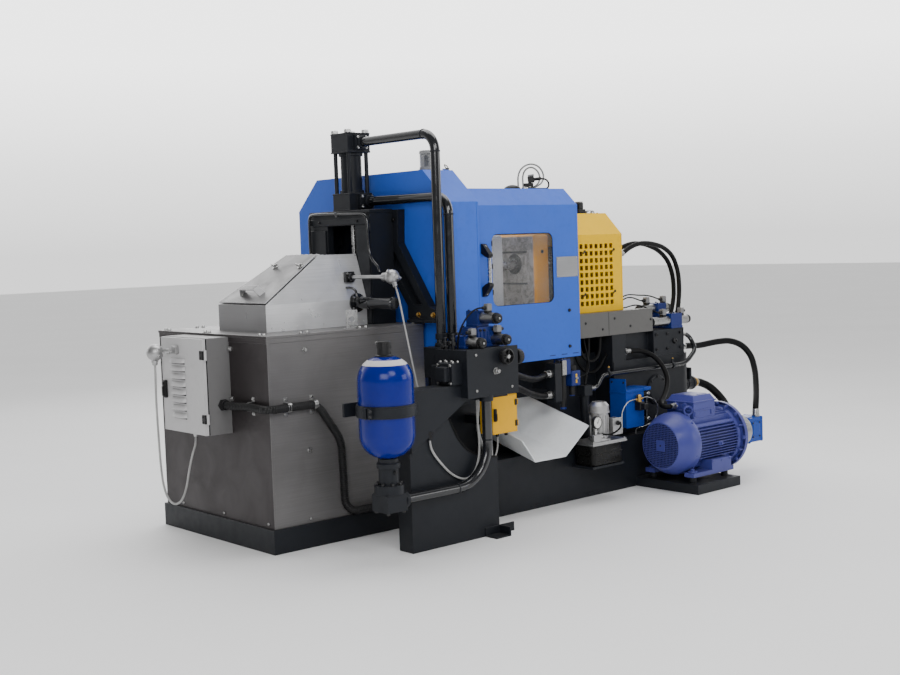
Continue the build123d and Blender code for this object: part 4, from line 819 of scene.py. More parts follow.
# seal round the cabinet mouth
for y0, y1, z0, z1 in ((-104, -98, 499, 920), (250, 256, 499, 920), (-98, 250, 499, 505), (-98, 250, 914, 920)):
    k.box(-1403.8, -1399.8, y0, y1, z0, z1, 0.8)
put("cabinet_seal", k, ["rubber"])
k = Kit()
# mounting rail and terminals inside
k.box(-1300, -1296.2, -70, 222, 690, 725, 0.6, 1)
for i in range(9):
    k.box(-1338, -1300, -62 + 30 * i, -36 + 30 * i, 674, 742, 2, 0)
    k.box(-1345, -1338, -56 + 30 * i, -42 + 30 * i, 690, 726, 1.5, 2)
k.box(-1336, -1296.2, -60, 30, 780, 860, 3, 0)
k.box(-1332, -1296.2, 70, 200, 790, 870, 3, 3)
put("cabinet_gear", k, ["grey_plastic", "zinc", "black_plastic", "white_plastic"])
k = Kit()
# cabinet feet on the housing, a boss and ring under the cabinet where the lead comes in, and the conduit's gland
k.lathe((-1330, -105, 626), (0, -1, 0), [(0, 27), (4, 27), (5, 23), (18, 23), (20, 21), (24, 20)], 6)
k.ring((-1330, -122, 626), (0, -1, 0), 15, 22, 10)
put("conduit_gland", k, ["black_plastic"])
k = Kit()
k.box(-1296, -1286, -128, -105, 640, 660, 1.5)
k.hexhead((-1296, -118, 650), (-1, 0, 0), 10, 6)
k.box(-1296, -1286, -128, -105, 860, 880, 1.5)
k.hexhead((-1296, -118, 870), (-1, 0, 0), 10, 6)
k.cyl((-1380, 56, 497), (-1380, 56, 484), 11, 1, 6)
k.ring((-1380, 56, 478), (0, 0, 1), 5.2, 9, 8, 24)
put("cabinet_ears", k, ["zinc"])

# heads of the two thermocouples: seam flange, screw ears, cable gland
k = Kit()
T2 = Vector((-1486, 196, 856))
d2 = unit((-1420 - -1486, 120 - 196, 8))
cap2 = unit((-0.35, -0.45, 0.82))
k.ring(T2 + cap2 * 1.5, cap2, 30, 37.8, 5)
for s in (-1, 1):
    side = unit(cap2.cross(Vector((1, 0, 0))))
    k.obox(T2 + cap2 * 4 + side * 36 * s, side, cap2, 6, 6, 6, 2)
k.lathe(T2 + d2 * 30, d2, [(0, 14), (16, 14), (18, 12), (24, 12)], 6)
k.cyl(T2 + d2 * 54, T2 + d2 * 70, 11.5, 1, 20)
k.lathe((T2.x, T2.y + 6, 822), (0, 0, -1), [(0, 14.5), (10, 14.5), (12, 12.5), (20, 12.5), (23.5, 10)], 6)
k.box(-1437, -1419, 100, 140, 848, 886, 3)
k.socket((-1437, 110, 877), (-1, 0, 0), 4, 4)
k.socket((-1437, 130, 857), (-1, 0, 0), 4, 4)
put("parked_head_details", k, ["cast_alu"], "cabinet_door")
k = Kit()
T1 = Vector((-672, -498, 1157))
out1 = unit((-0.2, -0.62, -0.76))
cap = unit((0.35, -0.55, 0.76))
k.ring(T1 + cap * 9, cap, 26, 36.5, 7)
s1 = cap.cross(Vector((0, 1, 0))).normalized()
for s in (-1, 1):
    k.obox(T1 + cap * 12 + s1 * 37 * s, s1, cap, 6, 7, 6, 2)
k.lathe(T1 + Vector((0, 24, 0)), (0, 1, 0), [(0, 19), (5, 20.5), (34, 20.5), (38, 17), (42, 13)], 26)
k.lathe(T1 + out1 * 26, out1, [(0, 12), (12, 12.5), (14, 11), (28, 11), (31.6, 8)], 6)
put("thermocouple_head_details", k, ["cast_alu"])
k = Kit()
# clamp block that holds the probe on the hood
k.box(-698, -646, -188, -168, 1132, 1182, 3)
k.ring((-672, -208, 1157), (0, 1, 0), 9.4, 19, 22)
k.socket((-690, -188, 1174), (0, -1, 0), 5, 5, 1)
k.socket((-654, -188, 1140), (0, -1, 0), 5, 5, 1)
put("probe_clamp", k, ["dark_steel", "zinc"])

# corrugated conduit and its saddle clamps
con = line_points("conduit_line", [
    (-1330, -105, 626), (-1330, -150, 626), (-1328, -200, 626), (-1314, -290, 629), (-1316, -335, 628), (-1327, -448, 625), (-1210, -434, 625),
    (-1120, -431, 624.5), (-1060, -431, 623), (-994, -431, 530), (-940, -431, 452), (-937.5, -433, 362), (-936.6, -435, 280), (-936, -438, 128),
    (-780, -438.5, 127.5), (-640, -439, 127)])


def along(pts, step):
    """Points at an even step along a line of points."""
    out, need, at = [pts[0]], step, 0.0
    for a, b in zip(pts, pts[1:]):
        d = (b - a).length
        while at + d >= need:
            out.append(a + (b - a) * ((need - at) / d))
            need += step
        at += d
    return out


fine = along(con, 2.5)
k = Kit()
k.tube(fine, [(17.6, 17.9, 17.6, 14.2)[i % 4] for i in range(len(fine))], 18)
put("conduit_hose", k, ["black_plastic"], replaces=("conduit",), sharp=80)
k = Kit()
for c, wall, tang in (((-1308, -285, 628.6), (1, 0, 0), (0, 1, 0)), ((-1207, -430.5, 625), (0, 1, 0), (1, 0, 0)), ((-1072, -431, 623.2), (0, 1, 0), (1, 0, 0))):
    c, wall, tang = Vector(c), unit(wall), unit(tang)
    up = Vector((0, 0, 1))
    dist = (-1288 - c.x) if wall.x else (-406 - c.y)
    outer, inner = [], []
    for i in range(13):
        a = math.pi * i / 12
        outer.append(c + up * (20.6 * math.cos(a)) - wall * (20.6 * math.sin(a)))
        inner.append(c + up * (18.2 * math.cos(a)) - wall * (18.2 * math.sin(a)))
    top, bot = c + wall * dist, c + wall * dist
    loop = [top + up * 40, top + up * 40 - wall * 2.4, top + up * 20.6 - wall * 2.4] + outer + [
        bot - up * 20.6 - wall * 2.4, bot - up * 40 - wall * 2.4, bot - up * 40, bot - up * 18.2] + list(reversed(inner)) + [top + up * 18.2]
    k.prism([p - tang * 9 for p in loop], tang * 18)
    for s in (-1, 1):
        k.hexhead(c + wall * dist + up * 31 * s - wall * 2.4, -wall, 10, 6)
put("saddle_clamps", k, ["zinc"])

# ----------------------------------------------------------- injection unit ---
k = Kit()
# raised column faces, head plate and lower rail of the portal
k.box(-590, -583, 108, 232, 936, 1378, 2)
k.box(-590, -583, -232, -142, 936, 1378, 2)
k.box(-592, -583, -236, 236, 1400, 1432, 2)
k.box(-588, -450, -240, 240, 1452, 1468, 2)
for y in (-222, -150, 150, 222):
    k.socket((-592, y, 1416), (-1, 0, 0), 6, 6, 1)
put("portal_plates", k, ["charcoal", "dark_steel"])
k = Kit()
# guard rail round the portal's front
rail = [(-590, 226, 1180), (-598, 226, 1230), (-600, 226, 1300), (-600, 226, 1400), (-600, 222, 1452), (-600, 178, 1458), (-600, 60, 1456), (-600, -60, 1452), (-600, -172, 1449),
        (-600, -226, 1446), (-600, -240, 1404), (-600, -242, 1330), (-600, -246, 1272), (-600, -262, 1238), (-600, -290, 1216), (-600, -316, 1196), (-602, -320, 1176)]
k.tube(line_points("rail", rail), 6.5, 12)
k.cyl((-604, 0, 1462), (-596, 0, 1440), 9, 1, 16)
k.cyl((-600, 226, 1196), (-584, 226, 1196), 8, 1, 16)
k.cyl((-600, -236, 1360), (-584, -230, 1360), 8, 1, 16)
put("portal_rail", k, ["charcoal_gloss"])
k = Kit()
# nuts on the cylinder's tie rods, and screws of the port flanges
for dx in (-52, 52):
    for dy in (-52, 52):
        k.hexhead((-500 + dx, dy, 1837), (0, 0, 1), 30, 13.9, washer=18)
for y, z0 in ((-90, 1790), ):
    for dx in (-24, 24):
        for dz in (-24, 24):
            k.socket((-500 + dx, y, z0 + dz), (0, -1, 0), 7, 8)
for dx in (-30, 30):
    for dz in (-24, 24):
        k.socket((-480 + dx, -90, 1510 + dz), (0, -1, 0), 7, 8)
put("cylinder_nuts", k, ["zinc"])
k = Kit()
# chamfered covers of both heads, gland ring, vent plug, weld collars of the two pipes
k.box(-568.5, -431.5, -68.5, 68.5, 1744, 1750, 1.5)
k.box(-568.5, -431.5, -68.5, 68.5, 1830, 1836.5, 1.5)
k.box(-568.5, -431.5, -68.5, 68.5, 1469, 1475, 1.5)
k.box(-568.5, -431.5, -68.5, 68.5, 1545, 1551, 1.5)
k.ring((-500, 0, 1552), (0, 0, 1), 49, 58, 14)
k.ring((-500, 0, 1729), (0, 0, 1), 49, 58, 14)
k.lathe((-434, -40, 1770), (1, 0, 0), [(0, 11), (8, 11), (8, 7), (14, 7)], 6)
for p, n in (((-500, -90, 1790), (0, -1, 0)), ((-470, -90, 1510), (0, -1, 0)), ((-500, -620, 837), (0, 0, 1)), ((-442, -630, 837), (0, 0, 1))):
    k.ring(p, n, 20, 30, 16)
for p, n in (((-500, -540, 1790), (0, -1, 0)), ((-500, -620, 1712), (0, 0, -1)), ((-442, -550, 1510), (0, -1, 0)), ((-442, -630, 1432), (0, 0, -1))):
    k.ring(p, n, 21, 23.6, 7)
k.ring((-500, -620, 870), (0, 0, 1), 21, 27, 26)
k.ring((-442, -630, 870), (0, 0, 1), 21, 27, 26)
put("cylinder_trim", k, ["charcoal"])
k = Kit()
# yoke: foot bolts, pad screws and the rod's coupling
for s in (-1, 1):
    for y in (408, 512):
        k.hexhead((-450, s * y, 973), (-1, 0, 0), 17, 9, washer=13)
for s in (-1, 1):
    for y, z in ((98, 1417), (250, 1417)):
        k.socket((-450, s * y, z), (-1, 0, 0), 9, 9, 1)
put("yoke_bolts", k, ["brass", "dark_steel"])
k = Kit()
for s in (-1, 1):
    a, b = sorted((s * 352, s * 536))
    k.box(-462, -449, a, b, 950, 960, 2)
    k.box(-478, -449, a, b, 938, 951, 2)
put("yoke_feet", k, ["charcoal"])
k = Kit()
k.ring((-500, 0, 1240), (0, 0, 1), 14.4, 22, 10)
k.ring((-500, 0, 1150), (0, 0, 1), 23, 27, 14)
k.ring((-500, 0, 1112), (0, 0, 1), 23, 27, 14)
k.cyl((-500, -15, 1300), (-500, -13, 1300), 5.5, 0.4, 18, 1)
k.cyl((-515, 0, 1300), (-513.2, 0, 1300), 5.5, 0.4, 18, 1)
put("rod_coupling", k, ["ground_steel", "dark_steel"], "injection_rod")

# ------------------------------------------------------------------ guards ---
k = Kit()
# rolled edges and roof seam of the blue guard
for s in (-1, 1):
    a, b = sorted((s * 588.2, s * 586))
    k.box(-404, -386, a, b, 716, 1484, 0.5)
    k.box(-232, -220.5, a, b, 716, 1484, 0.5)
k.box(-408.2, -406, -586, 586, 716, 734, 0.5)
put("guard_edges", k, ["blue"])
k = Kit()
# signal lamp on the roof
k.lathe((-330, -359, 1640), (0, 0, 1), [(0, 40), (5, 40), (6, 34), (16, 33)], 32, 1)
k.lathe((-330, -359, 1656), (0, 0, 1), [(0, 31), (3, 32)] + [(6 + 4 * i + (2 if j else 0), 32 if j else 30.4) for i in range(13) for j in (0, 1)] + [(60, 31), (62, 29)], 32, 0)
k.lathe((-330, -359, 1718), (0, 0, 1), [(0, 33), (3, 34), (10, 34), (15, 31), (17, 24), (18, 0)], 32, 0)
k.lathe((-330, -359, 1660), (0, 0, 1), [(0, 10), (46, 10), (52, 6), (52, 0)], 20, 2)
put("signal_lamp", k, ["lens_clear", "grey_plastic", "grey_plastic"])
k = Kit()
# toggle catch on the roof's shoulder, one a side
for y0 in (-1, 1):
    base = Vector((-243, y0 * 399, 1642))
    k.obox(base, (1, 0, 0), (0, 0.73 * y0, -0.20), 9, 20, 2.5, 0.8)
    k.tube([base + Vector((-7, y0 * 10, 4)), base + Vector((-7, y0 * -4, 20)), base + Vector((0, y0 * -12, 26)), base + Vector((7, y0 * -4, 20)), base + Vector((7, y0 * 10, 4))], 2.4, 8, 1)
    k.cyl(base + Vector((-10, y0 * 8, 5)), base + Vector((10, y0 * 8, 5)), 4, 0.5, 14, 1)
put("roof_catches", k, ["blue", "dark_steel"])

k = Kit()
# door: bare plate with rivets, screws, drain slots
k.plate((391.5, -560, 1162), (1, 0, 0), (0, 0, 1), 151, 101, 2, [], r=3)
put("door_plate", k, ["plate_alu"], "safety_door")
k = Kit()
for dx in (-68, 68):
    for dz in (-43, 43):
        k.button((391.5 + dx, -562, 1162 + dz), (0, -1, 0), 4.2, 3)
put("plate_rivets", k, ["zinc"], "safety_door")
k = Kit()
for x, z in ((398, 945), (395, 766), (-200, 945), (-200, 766)):
    k.hexhead((x, -560, z), (0, -1, 0), 13, 7, washer=9)
# three drain slots drawn as dark strips on the door: painted shade standing in for the cut openings
for x in (273, 356, 438):
    k.box(x - 20, x + 20, -560.5, -559.6, 727, 730.5, 0.2)
for z in (1060, 1182, 1290):
    k.box(-120, -113, -561.5, -559.5, z - 12, z + 12, 0.7)
put("door_screws", k, ["dark_steel"], "safety_door")
k = Kit()
# window seal: a thin bead round the opening
cx, cz, hw, hh, rr = 88.5, 1162.5, 205.5, 170.5, 36.0
bead = []
for ax, az, a0 in ((hw - rr, hh - rr, 0), (-hw + rr, hh - rr, 90), (-hw + rr, -hh + rr, 180), (hw - rr, -hh + rr, 270)):
    for i in range(8):
        a = math.radians(a0 + 90 * i / 7)
        bead.append((cx + ax + rr * math.cos(a), cz + az + rr * math.sin(a)))
for yy, body_name in ((-557.5, "safety_door"), (557.5, "machine")):
    kb = Kit()
    ring_pts = [Vector((x, yy, z)) for x, z in bead]
    kb.tube(ring_pts + [ring_pts[0]], 1.8, 8)
    put("window_bead_" + ("front" if yy < 0 else "rear"), kb, ["rubber"], body_name)
# bottom and side return flanges of the door
kb = Kit()
kb.box(-238, 474, -556, -543.5, 712.5, 716.5, 0.8)
kb.box(470, 474.6, -556, -543.5, 716, 1466, 0.8)
kb.box(-239.6, -235, -556, -543.5, 716, 1466, 0.8)
put("door_returns", kb, ["blue"], "safety_door")

k = Kit()
# pull handle: dark tube between two wedge-shaped ends that slope out from the door
hx, hy = -174.0, -602.0
k.cyl((hx, hy, 1096), (hx, hy, 1236), 9.5, 1, 26, 0)
for s, z0, z1 in ((1, 1228.0, 1290.0), (-1, 1104.0, 1042.0)):
    k.prism([Vector((hx - 13, y, z)) for y, z in ((-560, z1), (-560, z1 - s * 44), (hy + 13, z0), (hy - 11, z0), (hy - 12, z0 + s * 12), (-572, z1 - s * 2))], Vector((26, 0, 0)), 1)
    k.lathe((hx, hy, z0 - s * 5), (0, 0, s), [(0, 11.5), (2, 12.5), (9, 12.5), (11, 11)], 26, 1)
    k.socket((hx, -582, z1 - s * 12), (0, -0.82, 0.57 * s), 4, 2, 0)
put("pull_handle", k, ["ground_steel", "black_plastic"], "safety_door", replaces=("door_handle",))

k = Kit()
# yellow guard: catches at the grille's corners, seam strip on the end, roof screws
for x, z in ((823, 1237), (826, 1020), (600, 1232), (597, 1013)):
    k.button((x, -488, z), (0, -1, 0), 7, 5)
    k.obox((x - 8, -490, z - 5), (1, 0, 0.7), (0, 1, 0), 11, 2, 3, 0.8)
    k.button((x, 488, z), (0, 1, 0), 7, 5)
for y in (-330, 0, 330):
    k.button((480, y, 1429), (0, 0, 1), 6, 4)
    k.button((876, y, 1429), (0, 0, 1), 6, 4)
put("yellow_guard_catches", k, ["dark_steel"])
k = Kit()
for s in (-1, 1):
    a, b = sorted((s * 489.2, s * 487))
    k.box(472, 480, a, b, 918, 1314, 0.4)
    k.box(878, 887, a, b, 918, 1314, 0.4)
    k.box(480, 878, a, b, 918, 926, 0.4)
put("yellow_guard_edges", k, ["yellow"])
k = Kit()
# switch with its plug and a round cap on the yellow roof
k.box(704, 752, -364, -316, 1429, 1452, 3, 0)
k.box(711, 743, -357, -323, 1452, 1486, 3, 0)
k.box(713, 741, -355, -325, 1486, 1492, 2, 1)
k.lathe((797, -340, 1429), (0, 0, 1), [(0, 36), (8, 36), (14, 33), (18, 22), (19, 0)], 30, 2)
k.cyl((711, -340, 1470), (692, -340, 1466), 7, 1, 16, 0)
k.tube(line_points("sw", [(694, -340, 1467), (676, -340, 1462), (660, -342, 1444), (650, -346, 1432), (640, -348, 1425)]), 4, 10, 0)
put("roof_switch", k, ["black_plastic", "grey_plastic", "zinc"])

# plug, lead and dome beside the looped tubes
k = Kit()
P = Vector((364, -352, 1604))
k.obox(P, (0.753, -0.658, 0.12), (0.658, 0.753, 0), 16, 15, 17, 2.5, 0)
k.obox(P + Vector((0, 0, 20)), (0.753, -0.658, 0.12), (0.658, 0.753, 0), 15, 14, 5, 1.5, 1)
k.cyl(P + Vector((12, -10, 0)), P + Vector((40, -34, 4)), 8, 1.5, 18, 0)
k.tube(line_points("pl", [tuple(P + Vector(q)) for q in ((36, -31, 3), (52, -45, 2), (64, -56, -10), (68, -60, -28), (66, -54, -44), (62, -46, -48))]), 4.5, 10, 0)
k.obox(P + Vector((-12, 6, -27)), (0.753, -0.658, 0), (0.658, 0.753, 0), 24, 8, 9, 2, 0)
k.box(184, 300, -372, -328, 1549, 1555, 1, 2)
k.lathe((232, -350, 1555), (0, 0, 1), [(0, 42), (4, 42), (10, 38), (17, 26), (21, 12), (22, 0)], 30, 0)
k.box(296, 440, -400, -398, 1544, 1560, 0.8, 2)
put("tube_plug", k, ["black_plastic", "grey_plastic", "charcoal"])
k = Kit()
for nm in ("air_tube_outer", "air_tube_inner"):
    p0 = Vector(CORDS[nm][0][0])
    k.lathe((p0.x, p0.y, 1556), (0, 0, 1), [(0, 9), (6, 9), (6, 7.5), (10, 7.5)], 6)
    e, q = Vector(CORDS[nm][0][-1]), Vector(CORDS[nm][0][-2])
    d = unit(e - q)
    k.lathe(e, d, [(0.5, 7.8), (4, 8.4), (14, 8.4), (14, 10), (22, 10)], 20)
put("tube_fittings", k, ["zinc"])

k = Kit()
# guide beams: joint line and screws
for s in (-1, 1):
    a, b = sorted((s * 538.5, s * 537))
    k.box(713.6, 716.4, a, b, 795, 915, 0.2, 1)
    for x, z in ((1047, 858), (883, 833), (540, 868), (760, 880), (668, 830)):
        k.button((x, s * 538, z), (0, s, 0), 7, 5, 0)
    k.box(1061.5, 1064.5, min(s * 480, s * 536), max(s * 480, s * 536), 797, 913, 0.8, 2)
put("guide_screws", k, ["dark_steel", "black_plastic", "grey_beam"])

# ------------------------------------------------------------- clamping unit ---
k = Kit()
# bar nuts
for y in (-250, 250):
    for z in (700, 1180):
        k.lathe((5, y, z), (-1, 0, 0), [(0, 46), (26, 46), (29, 43)], 6)
        k.lathe((700, y, z), (1, 0, 0), [(0, 46), (26, 46), (29, 43)], 6)
put("bar_nuts", k, ["dark_steel"])
k = Kit()
for y in (-394, 394):
    for z in (620, 940, 1240):
        k.socket((386, y, z), (0, -1 if y < 0 else 1, 0), 9, 4)
# clamp slots and holes on the die face, bushes round the bars; the slots are dark bars, painted shade standing in for
# their recesses
for z in (800, 940, 1080, 1240):
    k.box(329.6, 332, -340, 340, z - 5, z + 5, 0.4)
for y in (-250, 250):
    for z in (700, 1180):
        k.ring((331, y, z), (-1, 0, 0), 31, 52, 3)
put("platen_screws", k, ["dark_steel"], "moving_platen")
k = Kit()
for y in (-180, -60, 60, 180):
    for z in (740, 1140):
        k.socket((115, y, z), (1, 0, 0), 11, 4)
k.lathe((115, 0, 940), (1, 0, 0), [(0, 90), (2, 90), (2, 40), (-20, 30), (-20, 0)], 48)
put("fixed_platen_details", k, ["dark_steel"])
k = Kit()
# base: weld beads and lifting eyes
for x in (-300, 100, 500, 900, 1300):
    k.box(x - 45, x + 45, -603, -600.5, 6, 20, 1)
for x in (-240, 640):
    k.ring((x, -601, 200), (0, -1, 0), 16, 26, 10)
put("base_trim", k, ["charcoal"])

# --------------------------------------------------------------- valve stand ---
k = Kit()
# edge trim along the stand's curved cut-out
trim = [(-391, 345), (-428, 352), (-499, 366), (-543, 384), (-580, 408), (-608, 438), (-632, 472), (-652, 512), (-668, 548)]
k.tube(line_points("trim", [(x, -846.5, z + 1) for x, z in trim]), 4.5, 10)
put("edge_trim", k, ["rubber"])
k = Kit()
k.lathe((-786, -854, 506), (0, 0, -1), [(0, 13), (14, 13), (16, 11), (30, 10), (34, 7)], 6)
put("stand_gland", k, ["black_plastic"])
k = Kit()
# blocks and flanges on the manifold, weld under it
k.box(-664, -606, -872, -772, 690, 786, 3)
k.box(-690, -660, -852, -792, 706, 770, 3)
k.box(-640, -606, -760, -706, 676, 770, 3)
k.box(-612, -308, -911, -905, 629, 841, 2)
k.box(-311, -306, -890, -720, 645, 825, 2)
k.cyl((-483, -885, 608), (-483, -885, 634), 31, 2, 30)
put("manifold_blocks", k, ["charcoal"])
k = Kit()
for y in (-862, -782):
    for z in (700, 776):
        k.socket((-664, y, z), (-1, 0, 0), 7, 8)
for x in (-650, -622):
    for y in (-862, -822, -782):
        k.hexhead((x, y, 786), (0, 0, 1), 12, 8)
k.lathe((-446, -911, 737), (0, -1, 0), [(0, 16), (3, 16), (4, 13), (14, 13), (16, 11)], 6)
k.lathe((-446, -925, 737), (0, -1, 0), [(0, 9), (9, 9), (11, 7)], 20)
for x in (-560, -350):
    for z in (660, 815):
        k.socket((x, -911, z), (0, -1, 0), 6, 3)
# hose unions on the manifold's right face and at the distributor
for y, z in ((-735, 712), (-735, 660)):
    k.lathe((-312, y, z), (1, 0, 0), [(0, 21), (16, 21), (18, 19)], 6)
    k.cyl((-296, y, z), (-262, y, z), 17.2, 1.5, 24)
for z in (640, 536):
    k.lathe((255, -560, z), (-1, 0, 0), [(0, 20), (14, 20), (16, 18)], 6)
    k.cyl((240, -560, z), (214, -560, z), 17.0, 1.5, 24)
put("manifold_screws", k, ["coil_steel"])

k = Kit()
# throttle handwheel: rim, hub and spokes
kc = Vector((-402, -908, 798))
k.lathe(kc + Vector((0, -12, 0)), (0, -1, 0), [(0, 12), (14, 12), (16, 10), (30, 10), (33, 8)], 20, 1)
rim_seg = 40
k.lathe(kc + Vector((0, -14, 0)), (0, -1, 0), [(0, 24), (2, 33), (6, 35.5), (22, 35.5), (28, 33), (30, 29), (26, 27), (16, 26), (14, 0)], rim_seg, 0)
for i in range(5):
    a = 2 * math.pi * i / 5
    d = Vector((math.cos(a), 0, math.sin(a)))
    k.obox(kc + Vector((0, -34, 0)) + d * 16, d, Vector((0, 1, 0)), 13, 5, 3.5, 1.5, 0)
for i in range(20):
    a = 2 * math.pi * i / 20
    d = Vector((math.cos(a), 0, math.sin(a)))
    k.obox(kc + Vector((0, -28, 0)) + d * 34.6, d, Vector((0, 1, 0)), 1.2, 9, 2.2, 0.8, 0)
put("throttle_handwheel", k, ["black_plastic", "zinc"], "throttle_knob", replaces=("throttle_knob",))
k = Kit()
# second, fixed adjuster on the manifold's end
k.lathe((-306, -880, 786), (1, 0, 0), [(0, 14), (10, 14), (12, 30), (16, 34), (34, 34), (40, 31), (42, 0)], 36)
for i in range(18):
    a = 2 * math.pi * i / 18
    d = Vector((0, math.cos(a), math.sin(a)))
    k.obox(Vector((-281, -880, 786)) + d * 33.4, d, Vector((1, 0, 0)), 1.4, 9, 2.2, 0.8)
put("end_adjuster", k, ["black_plastic"])


def solenoid_end(kit, p, n, r=25.0, depth=26.0):
    """Black knurled nut with a bright push pin on a coil's end."""
    p, n = Vector(p), unit(n)
    kit.lathe(p - n * 4, n, [(0, r * 0.98), (2, r + 0.6), (6, r + 0.6), (7, r * 0.86), (depth * 0.85, r * 0.84), (depth, r * 0.66), (depth, r * 0.34), (depth - 5, r * 0.32), (depth - 5, 0)], 26, 0)
    kit.lathe(p + n * (depth - 10), n, [(0, r * 0.22), (7, r * 0.22), (8.5, r * 0.14), (8.5, 0)], 14, 1)
    u, v, n2 = basis(n)
    for i in range(16):
        a = 2 * math.pi * i / 16
        d = u * math.cos(a) + v * math.sin(a)
        kit.obox(p + n * (depth * 0.42) + d * (r * 0.85), d, n, 1.0, depth * 0.24, 1.6, 0.5, 0)


def din_plug(kit, p, up, face, s=1.0, tall=34.0):
    """Square valve plug standing on p: black foot, pale hood, gland on the side that face names."""
    p, up, face = Vector(p), unit(up), unit(face)
    kit.obox(p + up * 5, face, up.cross(face), 13 * s, 13 * s, 5, 1.2, 0)
    kit.obox(p + up * (10 + tall / 2), face, up.cross(face), 14.5 * s, 14 * s, tall / 2, 2.5, 2)
    kit.obox(p + up * (10 + tall + 1.5), face, up.cross(face), 13 * s, 12.5 * s, 2.0, 1.2, 2)
    kit.socket(p + up * (13 + tall), up, 3.2, 2.5, 1)
    c = p + up * (10 + tall * 0.5) + face * 14 * s
    kit.lathe(c, face, [(0, 10 * s), (8, 10 * s), (10, 8 * s), (18, 7.4 * s), (20, 5.5 * s)], 16, 0)
    return c + face * 12


k = Kit()
solenoid_end(k, (-520, -900, 863), (0, -1, 0))
solenoid_end(k, (-400, -876, 963), (0, -1, 0))
solenoid_end(k, (-370, -900, 868), (0, -1, 0))
gA = din_plug(k, (-400, -824, 985), (0, 0, 1), (-1, 0, 0), tall=28)
gB = din_plug(k, (-520, -848, 886), (0, 0, 1), (-1, 0, 0), tall=26)
gC = din_plug(k, (-370, -850, 890), (0, 0, 1), (1, 0, 0), tall=26)
solenoid_end(k, (1084, -510, 838), (-1, 0, 0))
solenoid_end(k, (1380, -510, 838), (1, 0, 0))
solenoid_end(k, (1120, -402, 902), (-1, 0, 0))
solenoid_end(k, (1344, -402, 902), (1, 0, 0))
g0 = din_plug(k, (1184, -510, 861), (0, 0, 1), (-1, 0, 0), tall=28)
g1 = din_plug(k, (1336, -510, 861), (0, 0, 1), (1, 0, 0), tall=28)
g2 = din_plug(k, (1176, -402, 925), (0, 0, 1), (-1, 0, 0), tall=28)
g3 = din_plug(k, (1318, -402, 925), (0, 0, 1), (-1, 0, 0), tall=28)
put("valve_plugs", k, ["black_plastic", "coil_steel", "grey_plastic"])
k = Kit()
# screws, name-plate places left bare, subplates of the valves
for x0, x1, y0, y1, z in ((-550, -490, -830, -745, 892), (-470, -345, -830, -715, 925)):
    for x in (x0 + 10, x1 - 10):
        for y in (y0 + 10, y1 - 10):
            k.socket((x, y, z), (0, 0, 1), 5, 5)
for x in (-424, -376):
    for y in (-782, -724):
        k.socket((x, y, 995), (0, 0, 1), 5, 5)
for x in (1228, 1304):
    for y in (-532, -488):
        k.socket((x, y, 876), (0, 0, 1), 5, 5)
for x in (1236, 1292):
    for y in (-432, -373):
        k.socket((x, y, 930), (0, 0, 1), 5, 5)
for x in (-456, -432, -382, -358):
    k.socket((x, -830, 912), (0, -1, 0), 6, 6)
    k.socket((x, -830, 850), (0, -1, 0), 6, 6)
put("valve_screws", k, ["dark_steel"])
k = Kit()
k.box(-553, -487, -833, -742, 838, 850, 1.5)
k.box(-473, -342, -833, -712, 838, 852, 1.5)
for x in (-452, -430, -408, -386, -364):
    k.box(x - 4, x + 4, -834, -829, 856, 906, 1.5)
k.box(-434, -366, -792, -713, 926, 936, 1.5)
k.box(1217, 1315, -541, -479, 796, 808, 1.5)
k.box(1225, 1303, -443, -362, 796, 812, 1.5)
put("valve_plates", k, ["valve_blue"])
k = Kit()
# pressure switch and unions at the stand's left end
for y, z in ((-790, 868), (-740, 852)):
    k.cyl((-580, y, 836), (-580, y, z - 14), 9, 1, 18)
    k.lathe((-580, y, z - 16), (0, 0, 1), [(0, 15), (14, 15), (16, 13)], 6)
    k.lathe((-580, y, z), (0, 0, 1), [(0, 11), (18, 11), (20, 9), (34, 9), (36, 7)], 20)
    k.lathe((-580, y, z - 4), (-1, 0, 0), [(0, 9), (14, 9), (14, 12), (22, 12), (24, 10)], 6)
put("stand_unions", k, ["dark_steel"])

# short leads between the valve plugs and the manifold, and at the rear valves
LEADS = {
    "lead_a": ([tuple(gA), tuple(gA + Vector((-16, 0, 1))), (-470, -824, 1008), (-505, -822, 990), (-532, -818, 962), (-548, -812, 934), (-556, -806, 908), (-560, -800, 884), (-560, -796, 860), (-560, -796, 836.5)], 4.0),
    "lead_rear_0": ([tuple(g0), tuple(g0 + Vector((-18, 0, 0))), (1108, -508, 898), (1066, -506, 912), (1020, -502, 930), (972, -498, 938), (930, -492, 932), (905, -486, 926), (888, -482, 926)], 3.5),
    "lead_rear_2": ([tuple(g2), tuple(g2 + Vector((-18, 0, 0))), (1096, -404, 960), (1052, -408, 972), (1004, -414, 974), (956, -420, 962), (918, -426, 946), (902, -430, 940), (888, -430, 940)], 3.5),
    "lead_rear_3": ([tuple(g3), tuple(g3 + Vector((-16, 4, 4))), (1244, -392, 966), (1200, -380, 976), (1150, -376, 978), (1098, -380, 984), (1046, -388, 988), (990, -394, 980), (940, -396, 960), (906, -396, 950), (888, -396, 950)], 3.5),
}
